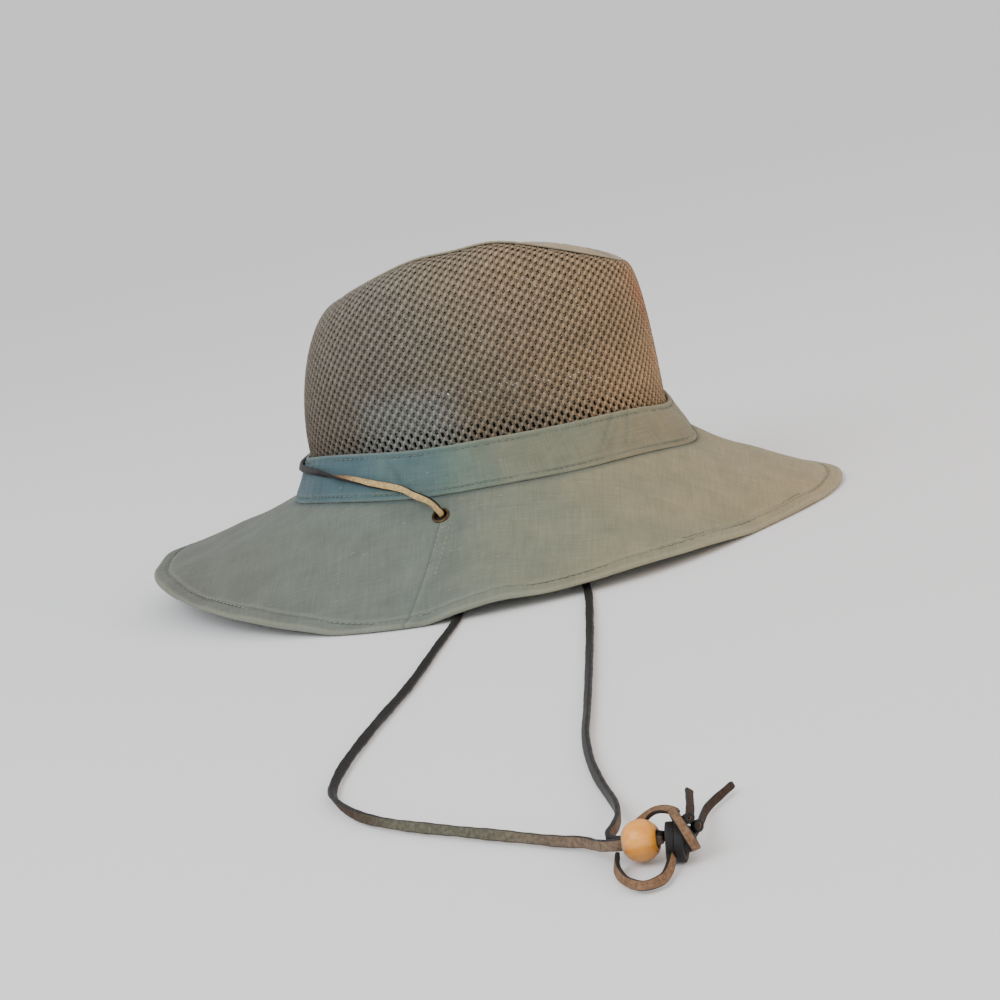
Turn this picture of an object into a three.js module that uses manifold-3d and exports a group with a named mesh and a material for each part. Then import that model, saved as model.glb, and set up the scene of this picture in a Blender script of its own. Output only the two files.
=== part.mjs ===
// A safari hat: a canvas brim with drooping sides, a sewn band, an open mesh crown closed by a dented
// cloth top, and a leather lace that runs round the crown, down through the brim and on to a wooden bead.
// Millimetres, +Z up, the surface it rests on is z = 0, the front of the hat points along +X.
import * as THREE from "three";
import { mergeVertices } from "three/addons/utils/BufferGeometryUtils.js";
import Module from "manifold-3d";

const wasm = await Module();
wasm.setup();

// ---- Driving dimensions ----

const GAP = 0.3; // between two pieces that touch on the real hat
const AROUND = 64; // points round each ring of the cloth
const SIDES_OF = { hole: 20, eyelet: 24, bead: 28, knot: 18 }; // facets round each turned shape
const SQUARENESS = 2.15; // exponent of the rings: 2 is an ellipse, more is fuller at the quarters

// The rings of the crown, as half lengths along X and Y and the place of the centre on X.
const BASE = { halfX: 104, halfY: 83, centreX: 7 }; // the band's lower edge, outside
const BAND_TOP = { halfX: 94, halfY: 73, centreX: 7 };
const RIM = { halfX: 71.5, halfY: 38, centreX: 19.5 }; // the crown's top edge

// Heights and reach every 22.5 degrees, from the front round one side to the back; the other side mirrors it.
// seam: where band and brim meet; edge: the underside of the brim's edge, which lies on the surface where
// this is below zero; reach: the edge's distance from the middle; top: the crown's top edge.
const STATIONS = [
  { seam: 33.5, edge: 1.5, reach: 179, top: 128 },
  { seam: 38, edge: -1.2, reach: 165, top: 134 },
  { seam: 41.5, edge: 3.5, reach: 159, top: 142.5 },
  { seam: 42.5, edge: 4.5, reach: 157, top: 147 },
  { seam: 43, edge: 2.5, reach: 155.5, top: 146.5 },
  { seam: 43.5, edge: 1.5, reach: 156, top: 146.5 },
  { seam: 45, edge: 8, reach: 159.5, top: 145 },
  { seam: 43, edge: 14, reach: 170, top: 139.5 },
  { seam: 40, edge: 17, reach: 179, top: 136 },
];

// Small waves in the height of the brim's edge.
const EDGE_WAVES = [
  { at: 102, halfWidth: 11, height: -3.2 },
  { at: 258, halfWidth: 11, height: -3.2 },
  { at: 277, halfWidth: 7, height: 2 },
];

// Soft dents pressed into the crown wall; share is the height between the band and the top edge.
const WALL_DENTS = [
  { at: 250, share: 0.45, halfWidth: 17, halfShare: 0.24, depth: 3 },
  { at: 305, share: 0.6, halfWidth: 14, halfShare: 0.2, depth: 2 },
  { at: 95, share: 0.5, halfWidth: 20, halfShare: 0.25, depth: 2.5 },
];

const BRIM = { wall: 2, lip: 2.2, flare: 1.25, hem: 7 };
const BAND = { height: 21.5, wall: 2, overMesh: 6 };
// lean: how far the top edge is raised on the near side and lowered on the far side.
// shoulder, fullFront: how soon the wall turns in to the top edge, and how much later it does at the front.
const MESH = { wall: 1.6, lean: 5, shoulder: 0.5, fullFront: 0.45, clearance: 0.1 };
const TOP = { wall: 1.6, seat: 0.5, overhang: 0.8, crest: 1, dentDepth: 14, dentHalfWidth: 16 };
const HOLE = { at: 261.5, share: 0.135, radius: 3.6, punch: 12 }; // punch: longer than the brim is thick
const EYELET = { bore: 2.9, barrel: 3.3, flange: 4.4, flangeThick: 0.5 };
const LACE = { wide: 3.6, thick: 1.7, chamfer: 0.35, lift: 0.1, step: 8, tightStep: 2.5, endStep: 5 };
const BEAD = { radius: 6.2, bore: 3, centre: [104.4, -463.8, 6.6], axis: [0.995, -0.1, 0] };
const KNOT = { half: [5.4, 5.8, 6.2], centre: [116.8, -466.6, 6.5], lump: 0.35, turns: 7 };

// ---- The hat's curves ----

const ring = ({ halfX, halfY, centreX }, angle, inset = 0) => {
  const c = Math.cos(angle);
  const s = Math.sin(angle);
  const shareX = Math.abs(c / (halfX - inset)) ** SQUARENESS;
  const shareY = Math.abs(s / (halfY - inset)) ** SQUARENESS;
  const radius = (shareX + shareY) ** (-1 / SQUARENESS);
  return new THREE.Vector2(centreX + radius * c, radius * s);
};

// A smooth function of the angle through one column of STATIONS: a sum of cosines.
function around(column) {
  const last = STATIONS.length - 1;
  const weight = (k) => (k === 0 || k === last ? 0.5 : 1);
  const cosines = STATIONS.map((_, k) => {
    const share = STATIONS.reduce(
      (sum, station, j) => sum + weight(j) * station[column] * Math.cos((Math.PI * j * k) / last),
      0,
    );
    return (2 / last) * weight(k) * share;
  });
  return (angle) => cosines.reduce((sum, size, k) => sum + size * Math.cos(k * angle), 0);
}

const seam = around("seam");
const plainEdge = around("edge");
const reach = around("reach");
const crownTop = around("top");

// Signed degrees from one direction to another, between -180 and 180.
const degreesBetween = (angle, at) => {
  const turn = THREE.MathUtils.radToDeg(angle) - at;
  return turn - 360 * Math.round(turn / 360);
};

const bell = (value) => Math.exp(-value * value);

const edge = (angle) =>
  EDGE_WAVES.reduce(
    (sum, { at, halfWidth, height }) => sum + height * bell(degreesBetween(angle, at) / halfWidth),
    plainEdge(angle),
  );

const bezier = (a, b, c, d, t) =>
  a * (1 - t) ** 3 + 3 * b * t * (1 - t) ** 2 + 3 * c * t * t * (1 - t) + d * t ** 3;

// ---- The cloth surfaces, each as a point for an angle and a share ----

// The top of the brim: share 0 is the seam, 1 the edge, and -1 the inner end of the lip under the band.
function brimTop(angle, share) {
  const out = Math.max(share, 0);
  const inner = ring(BASE, angle, BRIM.lip * Math.max(-share, 0));
  const outer = new THREE.Vector2(Math.cos(angle), Math.sin(angle)).multiplyScalar(reach(angle));
  const flat = inner.lerp(outer, out);
  const low = edge(angle) + BRIM.wall;
  const height = low + (seam(angle) - GAP - low) * (1 - out) ** BRIM.flare;
  return new THREE.Vector3(flat.x, flat.y, Math.max(height, BRIM.wall));
}

const lowered = (point, drop) => new THREE.Vector3(point.x, point.y, point.z - drop);

function bandOutside(angle, share, inset = 0) {
  const flat = ring(BASE, angle, inset).lerp(ring(BAND_TOP, angle, inset), share);
  return new THREE.Vector3(flat.x, flat.y, seam(angle) + BAND.height * share);
}

// The mesh wall: share -1 to 0 is the stretch inside the band, 0 to 1 rises to the top edge.
function meshOutside(angle, share) {
  const inset = BAND.wall + GAP + MESH.clearance;
  if (share < 0) return bandOutside(angle, 1 + (share * BAND.overMesh) / BAND.height, inset);
  const foot = bandOutside(angle, 1, inset);
  const rim = ring(RIM, angle);
  const shoulder = MESH.shoulder - MESH.fullFront * ((1 + Math.cos(angle)) / 2) ** 3;
  const flat = new THREE.Vector2(foot.x, foot.y).lerp(rim, bezier(0, 0, shoulder, 1, share));
  const rimHeight = crownTop(angle) - MESH.lean * Math.sin(angle);
  const rise = bezier(0, 0.5, 1, 1, share);
  const dent = WALL_DENTS.reduce(
    (sum, d) =>
      sum +
      d.depth * bell(degreesBetween(angle, d.at) / d.halfWidth) * bell((share - d.share) / d.halfShare),
    0,
  );
  const inward = new THREE.Vector2(BASE.centreX, 0).sub(flat).setLength(dent);
  flat.add(inward.multiplyScalar(Math.sin(Math.PI * share)));
  return new THREE.Vector3(flat.x, flat.y, foot.z + (rimHeight - foot.z) * rise);
}

// The same surface moved inwards along its own normal.
function meshInside(angle, share) {
  const step = 1e-3;
  const here = meshOutside(angle, share);
  const along = meshOutside(angle + step, share).sub(meshOutside(angle - step, share));
  const up = meshOutside(angle, Math.min(share + step, 1)).sub(meshOutside(angle, share - step));
  return here.addScaledVector(along.cross(up).normalize(), -MESH.wall);
}

// The crown's top seen from below: share 0 is the middle, 1 the edge over the mesh.
function topUnderside(angle, share) {
  const rim = ring(RIM, angle, -TOP.overhang);
  const middle = new THREE.Vector2(RIM.centreX, 0);
  const flat = middle.clone().lerp(rim, share);
  const ridge = crownTop(Math.PI / 2) + TOP.crest;
  const rimHeight = meshOutside(angle, 1).z + TOP.seat;
  const dent = TOP.dentDepth * bell(flat.y / TOP.dentHalfWidth) * (1 - share ** 4);
  return new THREE.Vector3(flat.x, flat.y, THREE.MathUtils.lerp(ridge, rimHeight, share ** 2) - dent);
}

// ---- Building meshes ----

const angleAt = (i) => (2 * Math.PI * i) / AROUND;
const ringOf = (surface, share) =>
  Array.from({ length: AROUND }, (_, i) => surface(angleAt(i), share));

// A closed surface through a chain of rings that ends where it began.
function closedLoft(rings) {
  const corners = [];
  const face = (a, b, c) => {
    if (a.distanceTo(b) > 1e-6 && b.distanceTo(c) > 1e-6 && c.distanceTo(a) > 1e-6) corners.push(a, b, c);
  };
  rings.forEach((low, i) => {
    const high = rings[(i + 1) % rings.length];
    low.forEach((corner, j) => {
      const next = (j + 1) % AROUND;
      face(corner, low[next], high[next]);
      face(corner, high[next], high[j]);
    });
  });
  return new THREE.BufferGeometry().setFromPoints(corners);
}

// A wall between two surfaces: up the first, over the edge and back down the second.
const wallBetween = (outside, inside, shares) =>
  closedLoft([
    ...shares.map((share) => ringOf(outside, share)),
    ...shares.toReversed().map((share) => ringOf(inside, share)),
  ]);

function solidOf(geometry) {
  const bare = geometry.clone();
  bare.deleteAttribute("normal");
  bare.deleteAttribute("uv");
  const merged = mergeVertices(bare, 1e-4);
  return new wasm.Manifold(
    new wasm.Mesh({
      numProp: 3,
      vertProperties: merged.attributes.position.array,
      triVerts: new Uint32Array(merged.index.array),
    }),
  );
}

function geometryOf(solid) {
  const { vertProperties, triVerts } = solid.getMesh();
  return new THREE.BufferGeometry()
    .setAttribute("position", new THREE.BufferAttribute(vertProperties, 3))
    .setIndex(new THREE.BufferAttribute(triVerts, 1));
}

const hat = new THREE.Group();

function add(name, geometry, material) {
  const mesh = new THREE.Mesh(geometry, material);
  mesh.name = name;
  geometry.computeVertexNormals();
  hat.add(mesh);
  return mesh;
}

const cloth = (color) => new THREE.MeshStandardMaterial({ color, roughness: 0.9, metalness: 0 });
const canvas = cloth("#868b80");
const bandCanvas = cloth("#7f8579");
const knit = cloth("#726a5c");
const topCanvas = cloth("#9b9180");
const leather = new THREE.MeshStandardMaterial({ color: "#7c6a58", roughness: 0.8, metalness: 0 });
const wood = new THREE.MeshStandardMaterial({ color: "#d8aa75", roughness: 0.3, metalness: 0 });
const brass = new THREE.MeshStandardMaterial({ color: "#6b5a45", roughness: 0.45, metalness: 0.9 });

// ---- Brim and eyelets ----

// A hole's middle on the brim's mid-surface, and the brim's own upward normal there.
function holeFrame(side) {
  const at = THREE.MathUtils.degToRad(HOLE.at) * side;
  const step = 1e-3;
  const along = brimTop(at + step, HOLE.share).sub(brimTop(at - step, HOLE.share));
  const outward = brimTop(at, HOLE.share + step).sub(brimTop(at, HOLE.share - step));
  const normal = outward.cross(along).normalize();
  return { middle: lowered(brimTop(at, HOLE.share), BRIM.wall / 2), normal };
}

// Lathe and cylinder geometries stand along Y; this stands them along a direction, at a place.
function stand(geometry, middle, direction) {
  const turn = new THREE.Quaternion().setFromUnitVectors(new THREE.Vector3(0, 1, 0), direction);
  return geometry.applyQuaternion(turn).translate(middle.x, middle.y, middle.z);
}

const SIDES = [
  { name: "near", side: 1 },
  { name: "far", side: -1 },
];

function brim() {
  const hem = BRIM.hem / (reach(Math.PI / 2) - BASE.halfY);
  const shares = [-1, 0, 0.14, 0.3, 0.46, 0.62, 0.78, 1 - hem, 1 - 0.4 * hem, 1];
  const underside = (angle, share) => lowered(brimTop(angle, share), BRIM.wall);
  let solid = solidOf(wallBetween(underside, brimTop, shares));
  for (const { side } of SIDES) {
    const { middle, normal } = holeFrame(side);
    const punch = new THREE.CylinderGeometry(HOLE.radius, HOLE.radius, HOLE.punch, SIDES_OF.hole);
    solid = solid.subtract(solidOf(stand(punch, middle, normal)));
  }
  return geometryOf(solid);
}

// A turned ring with a flange on each face of the brim.
function eyelet(side) {
  const { middle, normal } = holeFrame(side);
  const seat = BRIM.wall / 2 + GAP;
  const end = seat + EYELET.flangeThick;
  const profile = [
    [EYELET.bore, -end],
    [EYELET.flange, -end],
    [EYELET.flange, -seat],
    [EYELET.barrel, -seat],
    [EYELET.barrel, seat],
    [EYELET.flange, seat],
    [EYELET.flange, end],
    [EYELET.bore, end],
    [EYELET.bore, -end],
  ].map(([radius, height]) => new THREE.Vector2(radius, height));
  return stand(new THREE.LatheGeometry(profile, SIDES_OF.eyelet), middle, normal);
}

add("brim", brim(), canvas);
for (const { name, side } of SIDES) add("eyelet_" + name, eyelet(side), brass);

// ---- Band and crown ----

const bandInside = (angle, share) => bandOutside(angle, share, BAND.wall);
add("hatband", wallBetween(bandOutside, bandInside, [0, 0.35, 0.7, 1]), bandCanvas);

const meshShares = [-1, 0, 0.1, 0.2, 0.31, 0.42, 0.53, 0.64, 0.75, 0.85, 0.93, 1];
add("crown_mesh", wallBetween(meshOutside, meshInside, meshShares), knit);

const topOutside = (angle, share) => lowered(topUnderside(angle, share), -TOP.wall);
const topShares = [0, 0.16, 0.32, 0.48, 0.64, 0.8, 0.92, 1];
add("crown_top", wallBetween(topUnderside, topOutside, topShares), topCanvas);

// ---- Lace ----

// Height of the lace's middle where it lies on the surface, turned so far from flat.
const lyingHeight = (turn) =>
  LACE.lift + (Math.abs(Math.sin(turn)) * LACE.wide + Math.abs(Math.cos(turn)) * LACE.thick) / 2;

// A path that carries a flat section: at each row, turn 0 holds it flat and 90 stands it on its edge.
// A row with no z lies on the surface.
class LacePath extends THREE.CatmullRomCurve3 {
  constructor(rows) {
    const turns = rows.map((row) => THREE.MathUtils.degToRad(row.turn));
    super(rows.map(({ x, y, z }, i) => new THREE.Vector3(x, y, z ?? lyingHeight(turns[i]))));
    this.turns = turns;
    this.arcLengthDivisions = 800;
  }

  turnAt(t) {
    const place = t * (this.turns.length - 1);
    const row = Math.min(Math.floor(place), this.turns.length - 2);
    return THREE.MathUtils.lerp(this.turns[row], this.turns[row + 1], place - row);
  }

  computeFrenetFrames(steps) {
    const frames = { tangents: [], normals: [], binormals: [] };
    for (let i = 0; i <= steps; i++) {
      const tangent = this.getTangentAt(i / steps);
      const level = new THREE.Vector3(0, 0, 1).cross(tangent).normalize();
      const upright = tangent.clone().cross(level);
      const turn = this.turnAt(this.getUtoTmapping(i / steps));
      const wide = level.multiplyScalar(Math.cos(turn)).addScaledVector(upright, Math.sin(turn));
      frames.tangents.push(tangent);
      frames.normals.push(wide);
      frames.binormals.push(tangent.clone().cross(wide));
    }
    return frames;
  }
}

function laceSection() {
  const x = LACE.wide / 2;
  const y = LACE.thick / 2;
  const cut = LACE.chamfer;
  const corners = [
    [x, cut - y],
    [x, y - cut],
    [x - cut, y],
    [cut - x, y],
    [-x, y - cut],
    [-x, cut - y],
    [cut - x, -y],
    [x - cut, -y],
  ];
  return new THREE.Shape(corners.map(([a, b]) => new THREE.Vector2(a, b)));
}

function lace(name, rows, step = LACE.step) {
  const extrudePath = new LacePath(rows);
  const steps = Math.ceil(extrudePath.getLength() / step);
  const geometry = new THREE.ExtrudeGeometry(laceSection(), { steps, extrudePath });
  add(name, geometry, leather);
}

// The stretch held round the back of the band, from the near hole to the back; the far side mirrors it.
// share is the height on the band.
const HELD_FREE = [
  { x: -7.7, y: -92.1, z: 35.1, turn: 125 },
  { x: -8.3, y: -93.3, z: 38.8, turn: 122 },
  { x: -11.2, y: -93.4, z: 43.2, turn: 105 },
  { x: -18, y: -90.2, z: 46.6, turn: 78 },
];
const HELD_ON_BAND = [
  { at: 247, share: 0.24, turn: 66 },
  { at: 236, share: 0.4, turn: 65 },
  { at: 224, share: 0.56, turn: 65 },
  { at: 211, share: 0.7, turn: 65 },
  { at: 196, share: 0.8, turn: 65 },
];

function onBand({ at, share, turn }) {
  const angle = THREE.MathUtils.degToRad(at);
  const { x, y, z } = bandOutside(angle, share, -(LACE.thick / 2 + 3 * GAP));
  return { x, y, z, turn };
}

function heldRows() {
  const near = [...HELD_FREE, ...HELD_ON_BAND.map(onBand)];
  const far = near.map((row) => ({ ...row, y: -row.y }));
  return [...far, onBand({ at: 180, share: 0.84, turn: 65 }), ...near.toReversed()];
}

// The loose strands, from the holes over the surface to the bead and the knot behind it.
const CHIN_NEAR = [
  { x: -7.65, y: -91.95, z: 34.7, turn: 125 },
  { x: -7.1, y: -90.8, z: 31.2, turn: 110 },
  { x: -5, y: -91.8, z: 23, turn: 60 },
  { x: -2.8, y: -97, z: 12.5, turn: 15 },
  { x: -1, y: -107, z: 4.4, turn: 0 },
  { x: 0, y: -116, z: 1.6, turn: 0 },
  { x: 0.8, y: -127, turn: 0 },
  { x: 1.2, y: -137, turn: 0 },
  { x: 1.8, y: -158, turn: 0 },
  { x: -0.6, y: -198, turn: 15 },
  { x: -3.5, y: -249, turn: 30 },
  { x: -9, y: -297, turn: 35 },
  { x: -12, y: -335, turn: 40 },
  { x: -11.6, y: -358, turn: 50 },
  { x: -9.5, y: -370, turn: 58 },
  { x: -3.7, y: -382, turn: 62 },
  { x: 6.6, y: -396, turn: 64 },
  { x: 20, y: -407.5, turn: 64 },
  { x: 42, y: -421.5, turn: 64 },
  { x: 64, y: -435, turn: 66 },
  { x: 77, y: -443, turn: 70 },
  { x: 85.5, y: -449.3, z: 3, turn: 78 },
  { x: 90, y: -456.8, z: 4.6, turn: 84 },
  { x: 93.4, y: -462.6, z: 6.2, turn: 88 },
  { x: 97.8, y: -465, z: 6.8, turn: 90 },
  { x: 104.4, y: -464.9, z: 6.8, turn: 90 },
  { x: 111, y: -465.5, z: 6.8, turn: 90 },
];
const CHIN_FAR = [
  { x: -7.6, y: 91.8, z: 34.7, turn: 55 },
  { x: -6.7, y: 90.8, z: 31, turn: 45 },
  { x: -4.6, y: 87.5, z: 22, turn: 25 },
  { x: -1.5, y: 81, z: 11.5, turn: 10 },
  { x: 3.6, y: 70, z: 3.8, turn: 0 },
  { x: 7.4, y: 61, z: 1.5, turn: 0 },
  { x: 11.5, y: 51, turn: 0 },
  { x: 14.4, y: 42, turn: 0 },
  { x: 26, y: 5, turn: 0 },
  { x: 41, y: -55, turn: 0 },
  { x: 53, y: -105, turn: 0 },
  { x: 60, y: -142, turn: 0 },
  { x: 66, y: -200, turn: 20 },
  { x: 71, y: -262, turn: 35 },
  { x: 75, y: -317, turn: 45 },
  { x: 77, y: -347, turn: 50 },
  { x: 81, y: -374, turn: 55 },
  { x: 85.5, y: -394, turn: 62 },
  { x: 88.6, y: -405.5, z: 2.4, turn: 68 },
  { x: 91.7, y: -417, z: 3.2, turn: 74 },
  { x: 94.4, y: -429, z: 4.5, turn: 80 },
  { x: 95.8, y: -441, z: 5.6, turn: 85 },
  { x: 95.4, y: -451, z: 6.5, turn: 90 },
  { x: 94.4, y: -457, z: 6.8, turn: 90 },
  { x: 95.2, y: -460.6, z: 6.8, turn: 90 },
  { x: 98.3, y: -462.7, z: 6.8, turn: 90 },
  { x: 104.4, y: -462.9, z: 6.8, turn: 90 },
  { x: 111.5, y: -463.5, z: 6.8, turn: 90 },
];

// Two turns round the outside of the bead, from its mouth to the knot.
const LOOP_LOWER = [
  { x: 97.4, y: -466.8, z: 4.6, turn: 75 },
  { x: 96.9, y: -470, z: 2.8, turn: 70 },
  { x: 98, y: -475.4, turn: 65 },
  { x: 101.4, y: -482.6, turn: 65 },
  { x: 106, y: -486.3, turn: 65 },
  { x: 110.4, y: -484, turn: 65 },
  { x: 112.4, y: -477.5, turn: 65 },
  { x: 113.4, y: -470.8, z: 3.7, turn: 70 },
];
const LOOP_UPPER = [
  { x: 99.4, y: -456.6, z: 6.6, turn: 70 },
  { x: 102.6, y: -455, z: 8, turn: 60 },
  { x: 106.2, y: -455.6, z: 10.6, turn: 45 },
  { x: 109.4, y: -458.4, z: 13, turn: 30 },
  { x: 112.6, y: -461.8, z: 14.3, turn: 20 },
  { x: 115.2, y: -464.6, z: 14.5, turn: 20 },
  { x: 116.6, y: -466.2, z: 14.2, turn: 20 },
];

// The two cut ends beyond the knot.
const END_SHORT = [
  { x: 118.8, y: -461.1, z: 9, turn: 30 },
  { x: 118.8, y: -450.6, z: 9.2, turn: 35 },
  { x: 118.2, y: -441, z: 8.8, turn: 40 },
  { x: 117.6, y: -432.3, z: 8, turn: 40 },
];
const END_LONG = [
  { x: 119.4, y: -461.6, z: 5.4, turn: 80 },
  { x: 120.6, y: -449, z: 3.4, turn: 75 },
  { x: 122.4, y: -433, turn: 70 },
  { x: 129.6, y: -417, turn: 65 },
];

lace("lace_round_crown", heldRows(), LACE.step);
lace("chin_lace_near", CHIN_NEAR);
lace("chin_lace_far", CHIN_FAR);
lace("lace_loop_lower", LOOP_LOWER, LACE.tightStep);
lace("lace_loop_upper", LOOP_UPPER, LACE.tightStep);
lace("lace_end_short", END_SHORT, LACE.endStep);
lace("lace_end_long", END_LONG, LACE.endStep);

// ---- Bead and knot ----

function bead() {
  const flat = Math.asin(BEAD.bore / BEAD.radius);
  const arcs = SIDES_OF.bead / 2;
  const profile = Array.from({ length: arcs + 1 }, (_, i) => {
    const angle = flat + ((Math.PI - 2 * flat) * (arcs - i)) / arcs;
    return new THREE.Vector2(BEAD.radius * Math.sin(angle), BEAD.radius * Math.cos(angle));
  });
  profile.push(profile[0].clone());
  const axis = new THREE.Vector3(...BEAD.axis).normalize();
  return stand(new THREE.LatheGeometry(profile, SIDES_OF.bead), new THREE.Vector3(...BEAD.centre), axis);
}

// A rounded lump with three soft turns of lace round it.
function knot() {
  const ball = new THREE.SphereGeometry(1, SIDES_OF.knot, SIDES_OF.knot);
  const place = ball.attributes.position;
  const point = new THREE.Vector3();
  for (let i = 0; i < place.count; i++) {
    point.fromBufferAttribute(place, i);
    const lump = KNOT.lump * Math.cos(KNOT.turns * point.x) * (1 - point.z ** 2);
    point.multiply(new THREE.Vector3(...KNOT.half.map((half) => half + lump - KNOT.lump)));
    place.setXYZ(i, point.x, point.y, point.z);
  }
  return geometryOf(solidOf(ball)).translate(...KNOT.centre);
}

add("bead", bead(), wood);
add("lace_knot", knot(), leather);

export default hat;
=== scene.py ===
"""A safari hat with a knitted mesh crown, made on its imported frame.

Sizes are millimetres until a mesh is made; the scene is in metres, +Z up, the front of the hat at +X.
"""

import math

import bmesh
import bpy
import numpy as np
from mathutils import Matrix, Vector


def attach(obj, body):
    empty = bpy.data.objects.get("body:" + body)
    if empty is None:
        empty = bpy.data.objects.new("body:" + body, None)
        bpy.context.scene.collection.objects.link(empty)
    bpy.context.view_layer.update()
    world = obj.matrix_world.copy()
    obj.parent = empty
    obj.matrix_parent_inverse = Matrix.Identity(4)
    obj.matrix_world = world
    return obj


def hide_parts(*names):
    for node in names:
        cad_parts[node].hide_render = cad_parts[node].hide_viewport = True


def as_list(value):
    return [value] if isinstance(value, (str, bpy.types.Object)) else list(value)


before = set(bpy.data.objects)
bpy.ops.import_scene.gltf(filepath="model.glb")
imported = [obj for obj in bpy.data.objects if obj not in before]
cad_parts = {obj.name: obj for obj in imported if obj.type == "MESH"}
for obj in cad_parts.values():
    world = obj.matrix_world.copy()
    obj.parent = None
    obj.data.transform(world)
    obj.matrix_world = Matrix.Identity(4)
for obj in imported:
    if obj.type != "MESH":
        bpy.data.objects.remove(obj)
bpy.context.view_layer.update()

MM = 0.001


def placed(name, data):
    """A new object in the scene."""
    piece = bpy.data.objects.new(name, data)
    bpy.context.scene.collection.objects.link(piece)
    return piece


# ---------------------------------------------------------------- camera, light and floor

AIM = Vector((6, -3, 20)) * MM
CAMERA = dict(azimuth=9.7, elevation=11.2, roll=12.0, distance=1.050, lens=73.7, sees_to=20)


def make_camera():
    """Looks at AIM from an azimuth and an elevation, rolled round the line of sight."""
    azimuth, elevation, roll = (math.radians(CAMERA[part]) for part in ("azimuth", "elevation", "roll"))
    turn = Matrix.Rotation(azimuth, 4, "Z") @ Matrix.Rotation(math.pi / 2 - elevation, 4, "X")
    turn @= Matrix.Rotation(-roll, 4, "Z")
    camera = placed("camera", bpy.data.cameras.new("camera"))
    camera.data.lens = CAMERA["lens"]
    camera.data.clip_end = CAMERA["sees_to"]
    camera.matrix_world = Matrix.Translation(AIM) @ turn @ Matrix.Translation((0, 0, CAMERA["distance"]))
    bpy.context.scene.camera = camera


# Soft discs: a wide one high on the left, a small warm one from the right, a weak one in front.
LIGHTS = [
    dict(name="key", at=(-0.9, -1.3, 1.5), size=1.5, watts=20, colour="#f3f7ff"),
    dict(name="warm_side", at=(1.5, -0.4, 0.75), size=0.6, watts=5, colour="#ffc890"),
    dict(name="front_fill", at=(0.5, -1.9, 0.7), size=1.6, watts=6, colour="#ffffff"),
]
WORLD_STRENGTH = 0.92


def make_lights():
    for light in LIGHTS:
        lamp = bpy.data.lights.new(light["name"], "AREA")
        lamp.shape = "DISK"
        lamp.size = light["size"]
        lamp.energy = light["watts"]
        lamp.color = linear(light["colour"])[:3]
        holder = placed(light["name"], lamp)
        holder.location = light["at"]
        holder.rotation_euler = (AIM - holder.location).to_track_quat("-Z", "Y").to_euler()
    world = bpy.data.worlds.new("studio")
    world.use_nodes = True
    tree = world.node_tree
    fill(tree, tree.nodes["Background"], {"Color": linear("#ffffff"), "Strength": WORLD_STRENGTH})
    bpy.context.scene.world = world


# A wide pale sheet that curves up far behind the hat, in metres.
FLOOR = dict(half_width=9.0, front=-6.0, drop=-0.0004, back=3.5, bend=3.0, height=7.0)


def make_floor():
    back, bend, drop = FLOOR["back"], FLOOR["bend"], FLOOR["drop"]
    quarter = np.radians(range(0, 91, 6))
    curve = [(back + bend * math.sin(a), drop + bend * (1 - math.cos(a))) for a in quarter]
    section = [(FLOOR["front"], drop), *curve, (back + bend, FLOOR["height"])]
    half = FLOOR["half_width"]
    corners = [(x, y, z) for y, z in section for x in (-half, half)]
    faces = [(2 * i, 2 * i + 1, 2 * i + 3, 2 * i + 2) for i in range(len(section) - 1)]
    mesh = bpy.data.meshes.new("floor")
    mesh.from_pydata(corners, [], faces)
    mesh.transform(Matrix.Rotation(math.radians(CAMERA["azimuth"]), 4, "Z"))
    mesh.shade_smooth()
    # Matt white card.
    card = {"Base Color": linear("#fafafa"), "Roughness": 0.8, "Specular IOR Level": 0.2}
    mesh.materials.append(finished(new_material("white_card"), card))
    placed("floor", mesh)


# ---------------------------------------------------------------- materials


def linear(colour):
    """An sRGB hex colour as the linear values that shaders take."""
    parts = [int(colour[i : i + 2], 16) / 255 for i in (1, 3, 5)]
    return tuple(c / 12.92 if c <= 0.04045 else ((c + 0.055) / 1.055) ** 2.4 for c in parts) + (1.0,)


def fill(tree, node, inputs):
    """Gives each input its value, a socket's output, or another node's first live output."""
    for key, value in inputs.items():
        if isinstance(value, bpy.types.Node):
            value = next(socket for socket in value.outputs if socket.enabled)
        if isinstance(value, bpy.types.NodeSocket):
            tree.links.new(value, node.inputs[key])
        else:
            node.inputs[key].default_value = value


def add_node(tree, kind, inputs=None, stops=(), **settings):
    """Adds a node with its settings, its inputs and a colour ramp's (place, colour) stops."""
    node = tree.nodes.new(kind)
    for name, value in settings.items():
        setattr(node, name, value)
    if stops:
        elements = node.color_ramp.elements
        while len(elements) < len(stops):
            elements.new(0.5)
        for element, (place, colour) in zip(elements, stops):
            element.position = place
            element.color = linear(colour)
    fill(tree, node, inputs or {})
    return node


def new_material(name):
    material = bpy.data.materials.new(name)
    material.use_nodes = True
    return material


def started(name):
    """A new material, its node tree and the place on the object in metres."""
    material = new_material(name)
    place = add_node(material.node_tree, "ShaderNodeTexCoord").outputs["Object"]
    return material, material.node_tree, place


def finished(material, surface, relief=None, strength=1.0, depth=0.0):
    """Puts the surface on the material's shader, with a relief of some depth in metres."""
    tree = material.node_tree
    if relief is not None:
        heights = {"Height": relief, "Strength": strength, "Distance": depth}
        surface["Normal"] = add_node(tree, "ShaderNodeBump", heights)
    fill(tree, tree.nodes["Principled BSDF"], surface)
    return material


def across(tree, place, low, high, axis="X"):
    """How far a point lies from low to high along one axis, in metres, as 0 to 1."""
    split = add_node(tree, "ShaderNodeSeparateXYZ", {"Vector": place})
    inputs = {"Value": split.outputs[axis], "From Min": low, "From Max": high}
    return add_node(tree, "ShaderNodeMapRange", inputs)


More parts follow.
